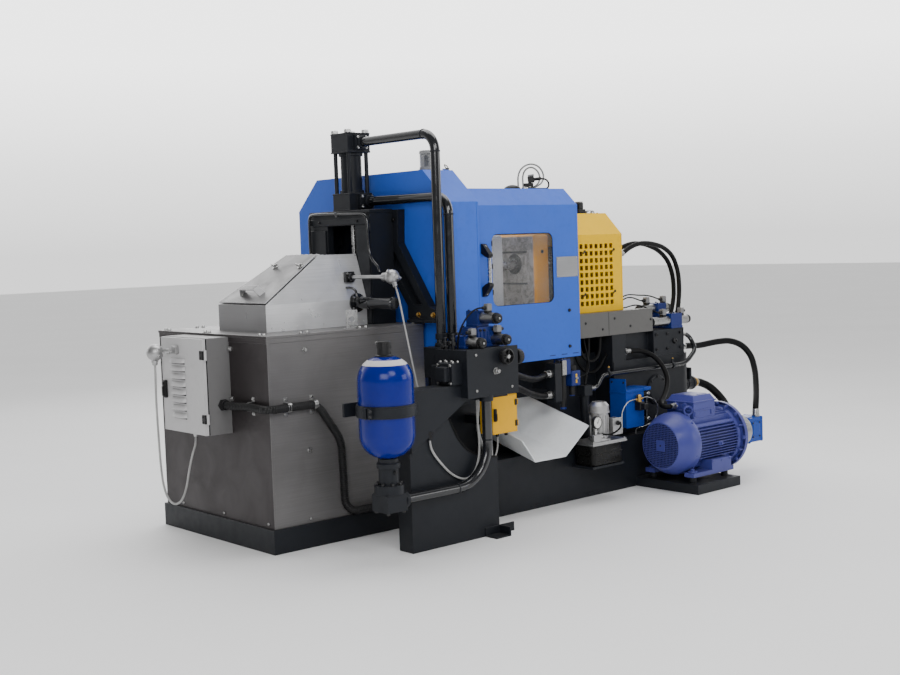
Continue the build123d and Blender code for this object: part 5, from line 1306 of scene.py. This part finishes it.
EXTRA = {
    "stand_lead_0": ([(-455, -800, 613), (-455, -800, 580), (-464, -802, 520), (-460, -804, 460), (-442, -802, 410), (-426, -796, 375), (-420, -792, 351)], 5.0, "cable_grey"),
    "stand_lead_1": ([(-436, -785, 613), (-436, -785, 575), (-448, -786, 515), (-448, -786, 455), (-430, -784, 405), (-413, -780, 372), (-408, -778, 349)], 5.0, "cable_grey"),
    "stand_lead_2": ([(-420, -815, 613), (-420, -815, 570), (-428, -818, 500), (-424, -818, 440), (-404, -814, 395), (-396, -808, 368), (-394, -804, 346)], 4.0, "cable_grey"),
    "box_lead": ([(-225, -632, 391), (-225, -634, 362), (-232, -642, 326), (-248, -658, 294), (-276, -682, 268), (-312, -712, 250), (-346, -742, 240), (-368, -768, 238), (-391, -786, 238)], 4.0, "cable_grey"),
    "beam_lead_0": ([(520, -505, 794), (520, -505, 758), (540, -508, 700), (590, -512, 662), (650, -512, 680), (680, -508, 742), (680, -505, 794)], 8.0, "rubber"),
    "beam_lead_1": ([(498, -490, 794), (498, -490, 750), (514, -492, 680), (560, -496, 622), (620, -500, 604), (680, -500, 630), (712, -500, 676), (735, -500, 690)], 8.0, "rubber"),
    "beam_lead_2": ([(600, -500, 794), (600, -500, 740), (586, -506, 690), (560, -520, 640), (532, -540, 606), (512, -553, 585), (505, -556, 561)], 7.0, "rubber"),
    "beam_lead_3": ([(474, -548, 604), (500, -548, 604), (540, -544, 620), (566, -530, 650), (572, -515, 700), (560, -508, 760), (556, -505, 794)], 4.0, "rubber"),
}
for nm, (pts, r, look) in EXTRA.items():
    ln = length_of(line_points(nm + "_l", pts)) * MM
    ob = spline(nm, pts, r)
    ob.data.materials.append(MAT[look])
    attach(ob, "machine")
for nm, (pts, r) in LEADS.items():
    ln = length_of(line_points(nm + "_l", pts)) * MM
    ob = spline(nm, pts, r)
    ob.data.materials.append(MAT["rubber"])
    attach(ob, "machine")

# ------------------------------------------------------------- accumulator ---
k = Kit()
AX, AY = -1020.0, -862.0
k.lathe((AX, AY, 846), (0, 0, 1), [(0, 38), (5, 38), (7, 31), (9, 28.8), (60, 28.8), (62, 27.6), (63.6, 25), (63.6, 0)], 40, 0)
for i in range(20):
    a = 2 * math.pi * i / 20
    d = Vector((math.cos(a), math.sin(a), 0))
    k.obox(Vector((AX, AY, 893)) + d * 28.7, d, Vector((0, 0, 1)), 0.8, 12, 2.2, 0.4, 0)
k.ring((AX, AY, 610), (0, 0, 1), 116.4, 126, 36, 64, 1)
k.obox((AX - 132, AY - 34, 628), (0.97, 0.24, 0), (0, 0, 1), 12, 22, 9, 2, 1)
k.obox((AX - 128, AY - 56, 628), (0.97, 0.24, 0), (0, 0, 1), 12, 22, 5, 2, 1)
for dz in (-11, 11):
    k.hexhead((AX - 134, AY - 62, 628 + dz), (-0.24, -0.97, 0), 13, 8, 2)
put("accumulator_neck", k, ["black_plastic", "charcoal", "dark_steel"])
k = Kit()
# pale band round the shoulder, lying on the dome
band = [(100.8 * math.sin(math.radians(a)), 16 + 100.8 * math.cos(math.radians(a))) for a in range(40, 60, 2)]
back = [(99.4 * math.sin(math.radians(a)), 16 + 99.4 * math.cos(math.radians(a))) for a in (58, 40)]
k.lathe((AX, AY, 749), (0, 0, 1), [back[1]] + band + [back[0]], 56, 0)
put("accumulator_shoulder_band", k, ["grey_box"])
k = Kit()
for i in range(8):
    a = 2 * math.pi * (i + 0.5) / 8
    k.socket((AX + 52 * math.cos(a), AY + 52 * math.sin(a), 319), (0, 0, 1), 7, 9)
for dx in (-40, 40):
    for dy in (-40, 40):
        k.hexhead((AX + dx, AY + dy, 208), (0, 0, -1), 13, 9)
k.lathe((AX, AY - 42, 372), (0, -1, 0), [(0, 9), (6, 9), (7, 6), (12, 6)], 6)
put("accumulator_screws", k, ["dark_steel"])
k = Kit()
k.lathe((AX, AY, 388), (0, 0, 1), [(0, 48), (6, 50), (18, 50), (22, 47), (24, 44)], 36)
k.ring((AX + 52, -885, 250), (1, 0, 0), 20, 34, 16)
k.ring((-672, -885, 250), (1, 0, 0), 21, 23.8, 6)
k.ring((-483, -885, 436), (0, 0, 1), 21, 23.8, 6)
put("accumulator_collars", k, ["charcoal"])

# -------------------------------------------------------------- control box ---
k = Kit()
k.box(-250, -234, -688, -676.5, 470, 530, 4)
k.box(-247, -237, -694, -686, 476, 508, 3)
for hz in (450, 548):
    k.box(-112, -98, -681, -676.5, hz - 14, hz + 14, 1.5)
put("control_box_latch", k, ["black_plastic"], "control_box_door")
k = Kit()
k.box(-252, -101, -678.5, -676, 413, 420, 0.8)
k.box(-252, -101, -678.5, -676, 578, 585, 0.8)
put("control_box_rim", k, ["orange"], "control_box_door")
k = Kit()
for x in (-225, -186, -130):
    k.lathe((x, -632, 410), (0, 0, -1), [(0, 11), (8, 11), (10, 9), (18, 8), (20, 6)], 6)
put("control_box_glands", k, ["black_plastic"])
k = Kit()
k.box(-248, -105, -618, -612, 420, 580, 1, 0)
for i in range(4):
    k.box(-240 + 32 * i, -214 + 32 * i, -650, -618, 500, 560, 2, 1)
for i in range(6):
    k.box(-238 + 21 * i, -222 + 21 * i, -640, -618, 440, 470, 1.5, 2)
put("control_box_gear", k, ["zinc", "grey_plastic", "black_plastic"])

# -------------------------------------------------------------------- chute ---
k = Kit()
fall = 0.28


def chute_at(x, z, back):
    return Vector((x, -718 + back, z + fall * back))


# hemmed lip along the front edge, side hems and two hangers
lip = [(-110, 367.5), (-26.5, 257.5), (180, 256.5), (346.5, 384)]
k.tube([chute_at(x, z, 1.5) for x, z in lip], 3.4, 8)
for x, z in (lip[0], lip[-1]):
    k.tube([chute_at(x, z, 1.5), chute_at(x, z, 499)], 3.2, 8)
put("chute_hem", k, ["grey_sheet"])

# ----------------------------------------------------------------- lube unit ---
k = Kit()
# moulded reservoir: rounded body with a collar under the lid
x0, x1, y0, y1 = 347, 573, -746, -614


def rounded(x0, x1, y0, y1, r, n=6):
    out = []
    for cx, cy, a0 in ((x1 - r, y1 - r, 0), (x0 + r, y1 - r, 90), (x0 + r, y0 + r, 180), (x1 - r, y0 + r, 270)):
        for i in range(n + 1):
            a = math.radians(a0 + 90 * i / n)
            out.append((cx + r * math.cos(a), cy + r * math.sin(a)))
    return out


levels = [(181, 14), (183, 8), (190, 4), (236, 2), (238, 0), (242, 0), (244, 2), (272, 1), (276, -1), (287.5, -1)]
rows = [rounded(x0 + i, x1 - i, y0 + i, y1 - i, 24 - min(i, 12)) for _, i in levels]
vs = [(x, y, z) for (z, _), row in zip(levels, rows) for x, y in row]
nn = len(rows[0])
fs = [(a * nn + i, a * nn + (i + 1) % nn, (a + 1) * nn + (i + 1) % nn, (a + 1) * nn + i) for a in range(len(rows) - 1) for i in range(nn)]
fs += [tuple(reversed(range(nn))), tuple(range((len(rows) - 1) * nn, len(rows) * nn))]
k.add(vs, fs)
put("lube_tank", k, ["oil_dark"], replaces=("lube_reservoir",))
k = Kit()
# pump: ribs on the motor, cap rim, lid screws, block under the gauge
for i in range(16):
    a = 2 * math.pi * i / 16
    d = Vector((math.cos(a), math.sin(a), 0))
    k.obox(Vector((455, -690, 372)) + d * 44.5, d, Vector((0, 0, 1)), 2.5, 52, 1.6, 0.6)
k.ring((455, -690, 434), (0, 0, 1), 44, 52, 8, 44)
k.ring((455, -690, 300), (0, 0, 1), 44, 56, 10, 44)
k.box(352, 404, -750, -722, 299, 338, 3)
k.box(404, 440, -748, -724, 299, 318, 3)
k.box(492, 564, -748, -744, 322, 406, 3)
k.box(334, 586, -757, -603, 284, 292, 3)
put("lube_pump_trim", k, ["cast_alu"])
k = Kit()
for x in (346, 460, 574):
    for y in (-747, -613):
        k.socket((x, y, 300), (0, 0, 1), 5, 5)
for x in (499, 557):
    for z in (331, 397):
        k.socket((x, -748, z), (0, -1, 0), 3.5, 3)
k.cyl((376, -736, 338), (376, -736, 368), 8, 1, 18)
k.lathe((376, -736, 352), (0, 0, 1), [(0, 12), (8, 12), (9, 10)], 6)
# brass-like nipples for the lines
k.lathe((420, -736, 318), (0, 0, 1), [(0, 8), (10, 8), (11, 6), (18, 6)], 6)
put("lube_screws", k, ["zinc"])
k = Kit()
# pressure gauge with a plain scale
g = Vector((376, -736, 399))
k.lathe(g, (0, -1, 0), [(-2, 26), (0, 30), (2, 31.5), (15, 31.5), (18, 30), (18, 28), (15.5, 27.6), (15.5, 0)], 40, 0)
put("gauge_case", k, ["black_plastic"])
k = Kit()
k.lathe(g + Vector((0, -15.5, 0)), (0, -1, 0), [(0, 27.2), (0.6, 27.2), (0.6, 0)], 40, 0)
for i in range(21):
    a = math.radians(225 - 270 * i / 20)
    d = Vector((math.cos(a), 0, math.sin(a)))
    big = i % 5 == 0
    k.obox(g + Vector((0, -16.4, 0)) + d * (23 if big else 24), d, Vector((0, 1, 0)), 3.4 if big else 2.0, 0.3, 0.8 if big else 0.4, 0.1, 1)
a = math.radians(60)
k.obox(g + Vector((0, -17, 0)) + Vector((math.cos(a), 0, math.sin(a))) * 6, (math.cos(a), 0, math.sin(a)), (0, 1, 0), 14, 0.4, 1.1, 0.2, 1)
k.cyl(g + Vector((0, -16, 0)), g + Vector((0, -18, 0)), 3, 0.4, 18, 1)
put("gauge_dial", k, ["white_plastic", "black_plastic"])
k = Kit()
k.lathe((526, -748, 380), (0, -1, 0), [(0, 12), (6, 12), (8, 9), (18, 8)], 16)
put("lube_gland", k, ["black_plastic"])
pts = [(526, -764, 380), (524, -772, 376), (514, -778, 364), (498, -776, 350), (478, -768, 338), (456, -758, 332), (438, -748, 332), (425, -740, 334), (420, -736, 336)]
ln = length_of(line_points("lube_l", pts)) * MM
ob = spline("lube_motor_lead", pts, 4.5)
ob.data.materials.append(MAT["rubber"])
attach(ob, "machine")

# ------------------------------------------------------------------- oil box ---
k = Kit()
k.box(704, 846, -651, -538, 499, 505, 1.5)
k.box(843, 898, -656, -540, 502, 520, 2)
k.box(707, 846, -650, -646, 320, 330, 1)
k.box(840, 845, -650, -540, 322, 504, 1)
put("oil_box_folds", k, ["box_blue"])
k = Kit()
for y in (-634, -556):
    k.button((707, y, 556), (-1, 0, 0), 6, 4)
k.box(770, 808, -690, -650, 408, 452, 3)
k.box(775, 803, -716, -688, 414, 446, 3)
put("dosing_coil", k, ["black_plastic"])
k = Kit()
k.lathe((789, -665, 450), (0, 0, 1), [(0, 15), (10, 15), (11, 11), (24, 11), (25, 14), (34, 14), (36, 11), (40, 8)], 6)
k.cyl((776, -665, 464), (762, -665, 464.6), 6.5, 1, 6)
k.cyl((802, -665, 464.4), (818, -665, 467.4), 6.5, 1, 6)
k.lathe((806, -660, 428), (1, 0, 0), [(0, 9), (8, 9), (9, 6), (20, 6)], 6)
put("dosing_brass", k, ["brass"])
k = Kit()
# sight tube with its end blocks
for z in (352, 484):
    k.box(846, 902, -640, -616, z - 11, z + 11, 2)
    k.lathe((886, -640, z), (0, -1, 0), [(0, 11), (6, 11), (8, 9), (12, 8), (13, 0)], 20, 1)
k.cyl((886, -628, 341), (886, -628, 331), 8, 1, 6)
put("sight_ends", k, ["black_plastic", "zinc"])
k = Kit()
k.cyl((886, -628, 363), (886, -628, 473), 8.5, 0.6, 20)
put("sight_tube", k, ["lens_clear"])
k = Kit()
k.box(874, 878, -640, -616, 362, 474, 0.8)
put("sight_guard", k, ["dark_steel"])

# ------------------------------------------------------------------ air unit ---
k = Kit()
k.box(326, 356, -575, -521, 624, 700, 3)
k.cyl((350, -548, 698), (350, -548, 706), 9, 1, 6)
k.cyl((340, -530, 698), (340, -530, 706), 5, 0.6, 16)
k.cyl((371, -548, 698), (371, -548, 706), 7, 1, 6)
k.lathe((350, -548, 626), (0, 0, -1), [(0, 19), (8, 19), (10, 17), (60, 17.5), (120, 17.5), (160, 17), (168, 12), (172, 6)], 28, 1)
k.lathe((416, -548, 566), (0, 0, -1), [(0, 17), (6, 17), (8, 15.5), (46, 15.5), (50, 10), (54, 5)], 28, 1)
k.lathe((450, -548, 604), (1, 0, 0), [(0, 12), (8, 12), (9, 9), (22, 9), (24, 7)], 6)
k.lathe((420, -575, 604), (0, -1, 0), [(0, 8), (5, 8), (6, 5), (12, 5)], 6)
put("air_unit_metal", k, ["coil_steel", "black_plastic"])
k = Kit()
k.box(357, 386, -574, -521, 625, 700, 3, 0)
k.box(388, 452, -577, -521, 565, 641, 4, 0)
k.box(414, 424, -579, -576, 580, 626, 1, 1)
k.lathe((420, -548, 640), (0, 0, 1), [(0, 20), (4, 21), (22, 21), (26, 18), (26, 0)], 24, 2)
k.box(322, 460, -524, -521.5, 560, 640, 0.8, 3)
k.box(386, 456, -524, -521.5, 640, 720, 0.8, 3)
put("air_unit_bodies", k, ["valve_blue", "yellow", "black_plastic", "charcoal"])

# ----------------------------------------------------------- tank and pipes ---
k = Kit()
k.lathe((1078, -540, 478), (0, -1, 0), [(0, 80), (8, 80), (10, 77), (10, 64), (12, 62), (12, 0)], 56)
k.box(1060, 1320, -543, -539, 650, 660, 1)
k.box(1312, 1320, -542, -476, 655, 796, 2)
for z in (690, 760):
    k.box(1316, 1322, -540, -484, z - 24, z + 24, 2)
k.lathe((1400, -450, 470), (1, 0, 0), [(0, 46), (10, 46), (12, 42), (16, 42)], 44)
k.ring((1430, -450, 470), (1, 0, 0), 30, 39, 12, 44)
k.ring((1478, -450, 470), (1, 0, 0), 30, 39, 14, 44)
# level gauge on the tank's end
k.box(1399, 1416, -330, -296, 380, 580, 4)
k.box(1396, 1412, -520, -488, 500, 566, 4)
# bolted covers and filler on the tank's top, cover on its rear wall
k.box(1130, 1340, -120, 180, 655, 663, 3)
k.lathe((1235, 300, 655), (0, 0, 1), [(0, 52), (8, 52), (10, 40), (40, 40), (42, 44), (66, 44), (72, 40), (74, 0)], 40)
k.box(900, 1180, 538, 546, 330, 560, 3)
# weld seams of the tank
k.box(738, 746, -544, -539.5, 272, 654, 1.5)
put("tank_trim", k, ["charcoal"])
k = Kit()
for i in range(8):
    a = 2 * math.pi * i / 8
    k.hexhead((1078 + 70 * math.cos(a), -550, 478 + 70 * math.sin(a)), (0, -1, 0), 11, 6)
for x in (1142, 1235, 1328):
    for y in (-108, 168):
        k.hexhead((x, y, 663), (0, 0, 1), 13, 8)
for x in (914, 1040, 1166):
    for z in (344, 546):
        k.hexhead((x, 546, z), (0, 1, 0), 13, 8)
for i in range(6):
    a = 2 * math.pi * i / 6
    k.socket((1235 + 46 * math.cos(a), 300 + 46 * math.sin(a), 663), (0, 0, 1), 4, 4)
for x in (1090, 1180, 1290):
    k.socket((x, -541, 690), (0, -1, 0), 8, 6)
    k.socket((x, -541, 770), (0, -1, 0), 8, 6)
k.lathe((1240, -541, 728), (0, -1, 0), [(0, 16), (3, 16), (10, 13), (12, 10), (12, 5), (8, 4), (8, 0)], 24)
put("tank_screws", k, ["dark_steel"])
k = Kit()
k.box(1401.5, 1418, -322, -304, 398, 562, 3)
put("level_glass", k, ["lens_clear"])
k = Kit()
# unions at the hose ends and along the return pipe
for p, n, r in (((1317, -510, 688), (1, 0, 0), 20), ((1365, -405, 795), (0, 0, 1), 16), ((1365, -455, 795), (0, 0, 1), 16),
                ((888, -405, 1222), (1, 0, 0), 16), ((888, -455, 1212), (1, 0, 0), 16), ((1560, -832, 300), (0, 0, 1), 20),
                ((1317, -512, 759), (1, 0, 0), 16), ((520, -562, 538), (1, 0, 0), 16), ((950, -776, 421), (-1, 0, 0), 17),
                ((840, -525, 700), (1, 0, 0), 17)):
    p, n = Vector(p), unit(n)
    k.lathe(p, n, [(0, r * 1.15), (12, r * 1.15), (14, r)], 6)
    k.lathe(p + n * 12, n, [(0, r), (6, r * 0.92), (30, r * 0.92), (32, r * 0.86)], 24)
put("hose_unions", k, ["coil_steel"])
k = Kit()
for x, z in ((663, 601), (1177, 602.5)):
    k.ring((x - 8, -575, z), (1, 0, 0), 12.2, 17, 16, 28)
    k.box(x - 8, x + 8, -579, -571, z + 14, z + 34, 2)
    k.hexhead((x, -575, z + 34), (0, 0, 1), 10, 6, 1)
k.ring((1512, -450, 470), (1, 0, 0), 22.3, 27, 14, 32, 1)
k.ring((1535, -734, 240), (0, -1, 0), 22.3, 27, 12, 32)
put("pipe_clips", k, ["charcoal", "brass"])
k = Kit()
for x in (1524, 1532):
    k.ring((x, -450, 470), (1, 0, 0), 22.2, 24, 5, 32)
put("suction_bands", k, ["zinc"])

# --------------------------------------------------------------------- motor ---
MY, MZ = -803.0, 236.0
k = Kit()
# cowl: conical shell, open at the back face, with a meshed fan guard
k.lathe((784, MY, MZ), (1, 0, 0), [(0.6, 113.5), (0, 115.5), (1.5, 118.5), (5, 121.5), (62, 152), (70, 155.6), (80, 158.4), (92, 159.8), (104, 160), (128, 160), (134, 158.5), (138, 156)], 80, 0, cap=False)
k.lathe((784, MY, MZ), (1, 0, 0), [(0.6, 113.5), (13, 112.5), (13, 0)], 80, 1, cap=False)
put("fan_cowl", k, ["motor_blue", "fan_black_and_slot_shade"], replaces=("motor_cowl",))
k = Kit()
# fan guard: crossed bars clipped to the round opening, rim and a centre plate
for i in range(-12, 13):
    q = i * 9.2
    h = math.sqrt(max(0.0, 113.4 ** 2 - q * q))
    if h > 12:
        k.box(784.6, 787.0, MY + q - 1.2, MY + q + 1.2, MZ - h, MZ + h, 0.5)
        k.box(784.6, 787.4, MY - h, MY + h, MZ + q - 1.2, MZ + q + 1.2, 0.5)
k.box(783.4, 788, MY - 27, MY + 27, MZ - 27, MZ + 27, 1.5)
k.cyl((783.4, MY, MZ), (782.8, MY, MZ), 5, 0.2, 20, 1)
for a in range(4):
    t = math.radians(45 + 90 * a)
    k.hexhead((902, MY + 159.5 * math.cos(t), MZ + 159.5 * math.sin(t)), (0, math.cos(t), math.sin(t)), 11, 5)
put("fan_guard", k, ["motor_blue", "black_plastic"])
k = Kit()
# cooling fins, in four groups with pads between them
for i in range(11):
    h = -72 + 14.4 * i
    for s in (-1, 1):
        ya = math.sqrt(max(0, 126.0 ** 2 - h * h))
        yb = math.sqrt(max(0, 153.0 ** 2 - h * h))
        a, b = sorted((MY + s * ya, MY + s * yb))
        k.box(926, 1236, a, b, MZ + h - 2.0, MZ + h + 2.0, 0.8)
for i in range(12):
    q = -86 + 15.6 * i
    za = math.sqrt(max(0, 126.0 ** 2 - q * q))
    zb = math.sqrt(max(0, 152.0 ** 2 - q * q))
    k.box(926, 1236, MY + q - 2.0, MY + q + 2.0, MZ - zb + 4, MZ - za, 0.8)
    if abs(q) > 84:
        k.box(926, 1236, MY + q - 2.0, MY + q + 2.0, MZ + za, MZ + zb, 0.8)
    else:
        k.box(1132, 1236, MY + q - 2.0, MY + q + 2.0, MZ + za, MZ + zb, 0.8)
for a in (38, 142):
    t = math.radians(a)
    d = Vector((0, math.cos(t), math.sin(t)))
    k.obox(Vector((1081, MY, MZ)) + d * 138, (1, 0, 0), d, 155, 14, 9, 3)
# bearing shields at both ends
k.lathe((918, MY, MZ), (1, 0, 0), [(0, 148), (4, 151), (10, 151), (12, 146)], 64)
k.lathe((1232, MY, MZ), (1, 0, 0), [(0, 136), (4, 148), (14, 153), (22, 153), (30, 150)], 64)
put("motor_fins", k, ["motor_blue"])
k = Kit()
# flange: ribs on its back and a raised rim
for i in range(8):
    a = 2 * math.pi * (i + 0.5) / 8
    d = Vector((0, math.cos(a), math.sin(a)))
    k.obox(Vector((1248, MY, MZ)) + d * 154, (1, 0, 0), d, 15, 18, 3.5, 1.5)
k.ring((1262, MY, MZ), (1, 0, 0), 162, 176.5, 23, 80)
# feet: webs and pads
for y in (-930, -676):
    for x in (880, 1140):
        k.cyl((x, y, 99), (x, y, 108), 24, 2, 24)
for s in (-1, 1):
    for x in (1010, 1080, 1150):
        k.obox((x, MY + s * 122, 130), (1, 0, 0), (0, 1, 0.42 * s), 6, 40, 8, 2)
    a, b = sorted((MY + s * 136, MY + s * 150))
    k.box(1004, 1156, a, b, 104, 152, 3)
k.box(1070, 1098, MY - 156, MY - 128, MZ - 22, MZ + 4, 4)
# terminal box: lid, rim and gland bosses
k.box(946, 1130, -892, -714, 396, 404, 2)
k.box(944, 1132, -894, -712, 440, 448, 2)
k.box(974, 1102, -856, -750, 474, 478, 2)
k.cyl((950, -776, 421), (938, -776, 421), 21, 2, 28)
k.cyl((950, -836, 421), (940, -836, 421), 19, 2, 28)
k.box(958, 984, -892, -887, 372, 398, 2)
k.box(1090, 1116, -892, -887, 372, 398, 2)
put("motor_castings", k, ["motor_blue"])
k = Kit()
eye = Vector((934, -866, 404))
k.tube([eye + Vector((21 * math.cos(2 * math.pi * i / 28) * 0.75, -21 * math.cos(2 * math.pi * i / 28) * 0.66, 21 * math.sin(2 * math.pi * i / 28))) for i in range(29)], 5.5, 12, 0)
k.cyl((934, -866, 352), (934, -866, 384), 9, 1, 18)
for i in range(8):
    a = 2 * math.pi * i / 8
    k.hexhead((1262, MY + 166 * math.cos(a), MZ + 166 * math.sin(a)), (-1, 0, 0), 17, 12, 0)
for y in (-930, -676):
    for x in (880, 1140):
        k.hexhead((x, y, 108), (0, 0, 1), 19, 11, 0)
for x in (958, 1118):
    for y in (-878, -728):
        k.socket((x, y, 448), (0, 0, 1), 6, 6)
k.hexhead((1084, MY - 156, MZ - 9), (0, -1, 0), 15, 8)
put("motor_bolts", k, ["motor_blue"])
k = Kit()
# bell housing: cone, ribs and rings
k.lathe((1286, MY, MZ), (1, 0, 0), [(0, 128), (20, 128), (24, 124), (26, 112), (60, 101), (100, 97), (132, 97), (134, 92), (136, 88), (150, 88), (152, 86), (164, 85), (164, 60)], 64)
for i in range(12):
    a = 2 * math.pi * i / 12
    d = Vector((0, math.cos(a), math.sin(a)))
    k.obox(Vector((1364, MY, MZ)) + d * 98, (1, 0, 0), d, 50, 4, 4, 1.5)
put("bell_housing", k, ["coil_steel"])
k = Kit()
k.box(1454, 1470, -864, -742, 165, 305, 4)
k.box(1566, 1582, -863, -743, 167, 303, 4)
k.box(1478, 1560, -838, -768, 296, 304, 3)
k.box(1506, 1562, -748, -742, 204, 276, 3)
k.box(1482, 1556, -864, -858, 190, 280, 3)
k.box(1492, 1546, -866, -862, 206, 262, 2)
put("pump_covers", k, ["box_blue"])
k = Kit()
for y in (-850, -756):
    for z in (180, 290):
        k.socket((1582, y, z), (1, 0, 0), 7, 7)
for x in (1490, 1548):
    for z in (198, 272):
        k.socket((x, -864, z), (0, -1, 0), 5, 3)
put("pump_screws", k, ["dark_steel"])

# ------------------------------------------------------------ floor, light ---
fm = bpy.data.meshes.new("floor")
fm.from_pydata([(-40, -40, 0), (40, -40, 0), (40, 40, 0), (-40, 40, 0)], [], [(0, 1, 2, 3)])
floor = bpy.data.objects.new("floor", fm)
SC.collection.objects.link(floor)
fmat = Mat("floor_pale")
fmat.colour(fmat.mix(fmat.span(fmat.noise(0.7, 3), 0.3, 0.7), (0.86, 0.86, 0.86), (0.89, 0.89, 0.89)))
fmat.b.inputs["Roughness"].default_value = 0.75
fm.materials.append(fmat.mat)

# studio surround: a bright white sweep behind the machine, a dimmer room in front of it
world = bpy.data.worlds.new("studio")
world.use_nodes = True
wn, wl = world.node_tree.nodes, world.node_tree.links
wn["Background"].inputs["Color"].default_value = (1.0, 1.0, 1.0, 1.0)
look_at = wn.new("ShaderNodeTexCoord")
aim = wn.new("ShaderNodeVectorMath")
aim.operation = "DOT_PRODUCT"
aim.inputs[1].default_value = (0.657, 0.752, 0.06)
wl.new(look_at.outputs["Generated"], aim.inputs[0])
ramp = wn.new("ShaderNodeMapRange")
ramp.interpolation_type = "SMOOTHSTEP"
ramp.inputs["From Min"].default_value = 0.05
ramp.inputs["From Max"].default_value = 0.70
wl.new(aim.outputs["Value"], ramp.inputs["Value"])
tall = wn.new("ShaderNodeSeparateXYZ")
wl.new(look_at.outputs["Generated"], tall.inputs[0])
half = wn.new("ShaderNodeMath")
half.operation = "MULTIPLY_ADD"
half.inputs[1].default_value = 0.5
half.inputs[2].default_value = 0.5
wl.new(tall.outputs["Z"], half.inputs[0])
sweep = wn.new("ShaderNodeValToRGB")
el = sweep.color_ramp.elements
el[0].position, el[0].color = 0.0, (0.36, 0.36, 0.36, 1)
el[1].position, el[1].color = 1.0, (0.40, 0.40, 0.40, 1)
for at, v in ((0.50, 0.36), (0.53, 0.55), (0.57, 0.95), (0.64, 1.0), (0.72, 0.62), (0.82, 0.42)):
    e = el.new(at)
    e.color = (v, v, v, 1)
wl.new(half.outputs[0], sweep.inputs["Fac"])
both = wn.new("ShaderNodeMath")
both.operation = "MULTIPLY"
wl.new(ramp.outputs["Result"], both.inputs[0])
wl.new(sweep.outputs["Color"], both.inputs[1])
power = wn.new("ShaderNodeMath")
power.operation = "MULTIPLY_ADD"
power.inputs[1].default_value = 3.2
power.inputs[2].default_value = 0.28
wl.new(both.outputs[0], power.inputs[0])
wl.new(power.outputs[0], wn["Background"].inputs["Strength"])
SC.world = world


def area(name, at, to, size, watts, col=(1, 1, 1)):
    li = bpy.data.lights.new(name, "AREA")
    li.shape = "RECTANGLE"
    li.size, li.size_y = size
    li.energy = watts
    li.color = col
    ob = bpy.data.objects.new(name, li)
    SC.collection.objects.link(ob)
    ob.location = at
    ob.rotation_mode = "QUATERNION"
    ob.rotation_quaternion = (Vector(to) - Vector(at)).to_track_quat("-Z", "Y")


area("key", (-1.4, -5.4, 4.0), (0.0, -0.4, 0.8), (2.2, 1.8), 90)
area("left", (-4.6, -4.8, 3.2), (-0.6, -0.2, 1.0), (3.2, 2.4), 130)
area("fill", (3.6, -5.0, 1.9), (0.7, -0.6, 0.5), (2.6, 1.8), 48)
area("top", (0.2, 0.0, 5.2), (0.1, -0.1, 0.0), (5.0, 3.0), 165)
area("back", (1.5, 5.0, 3.4), (0.2, 0.2, 0.9), (4.0, 2.5), 55)
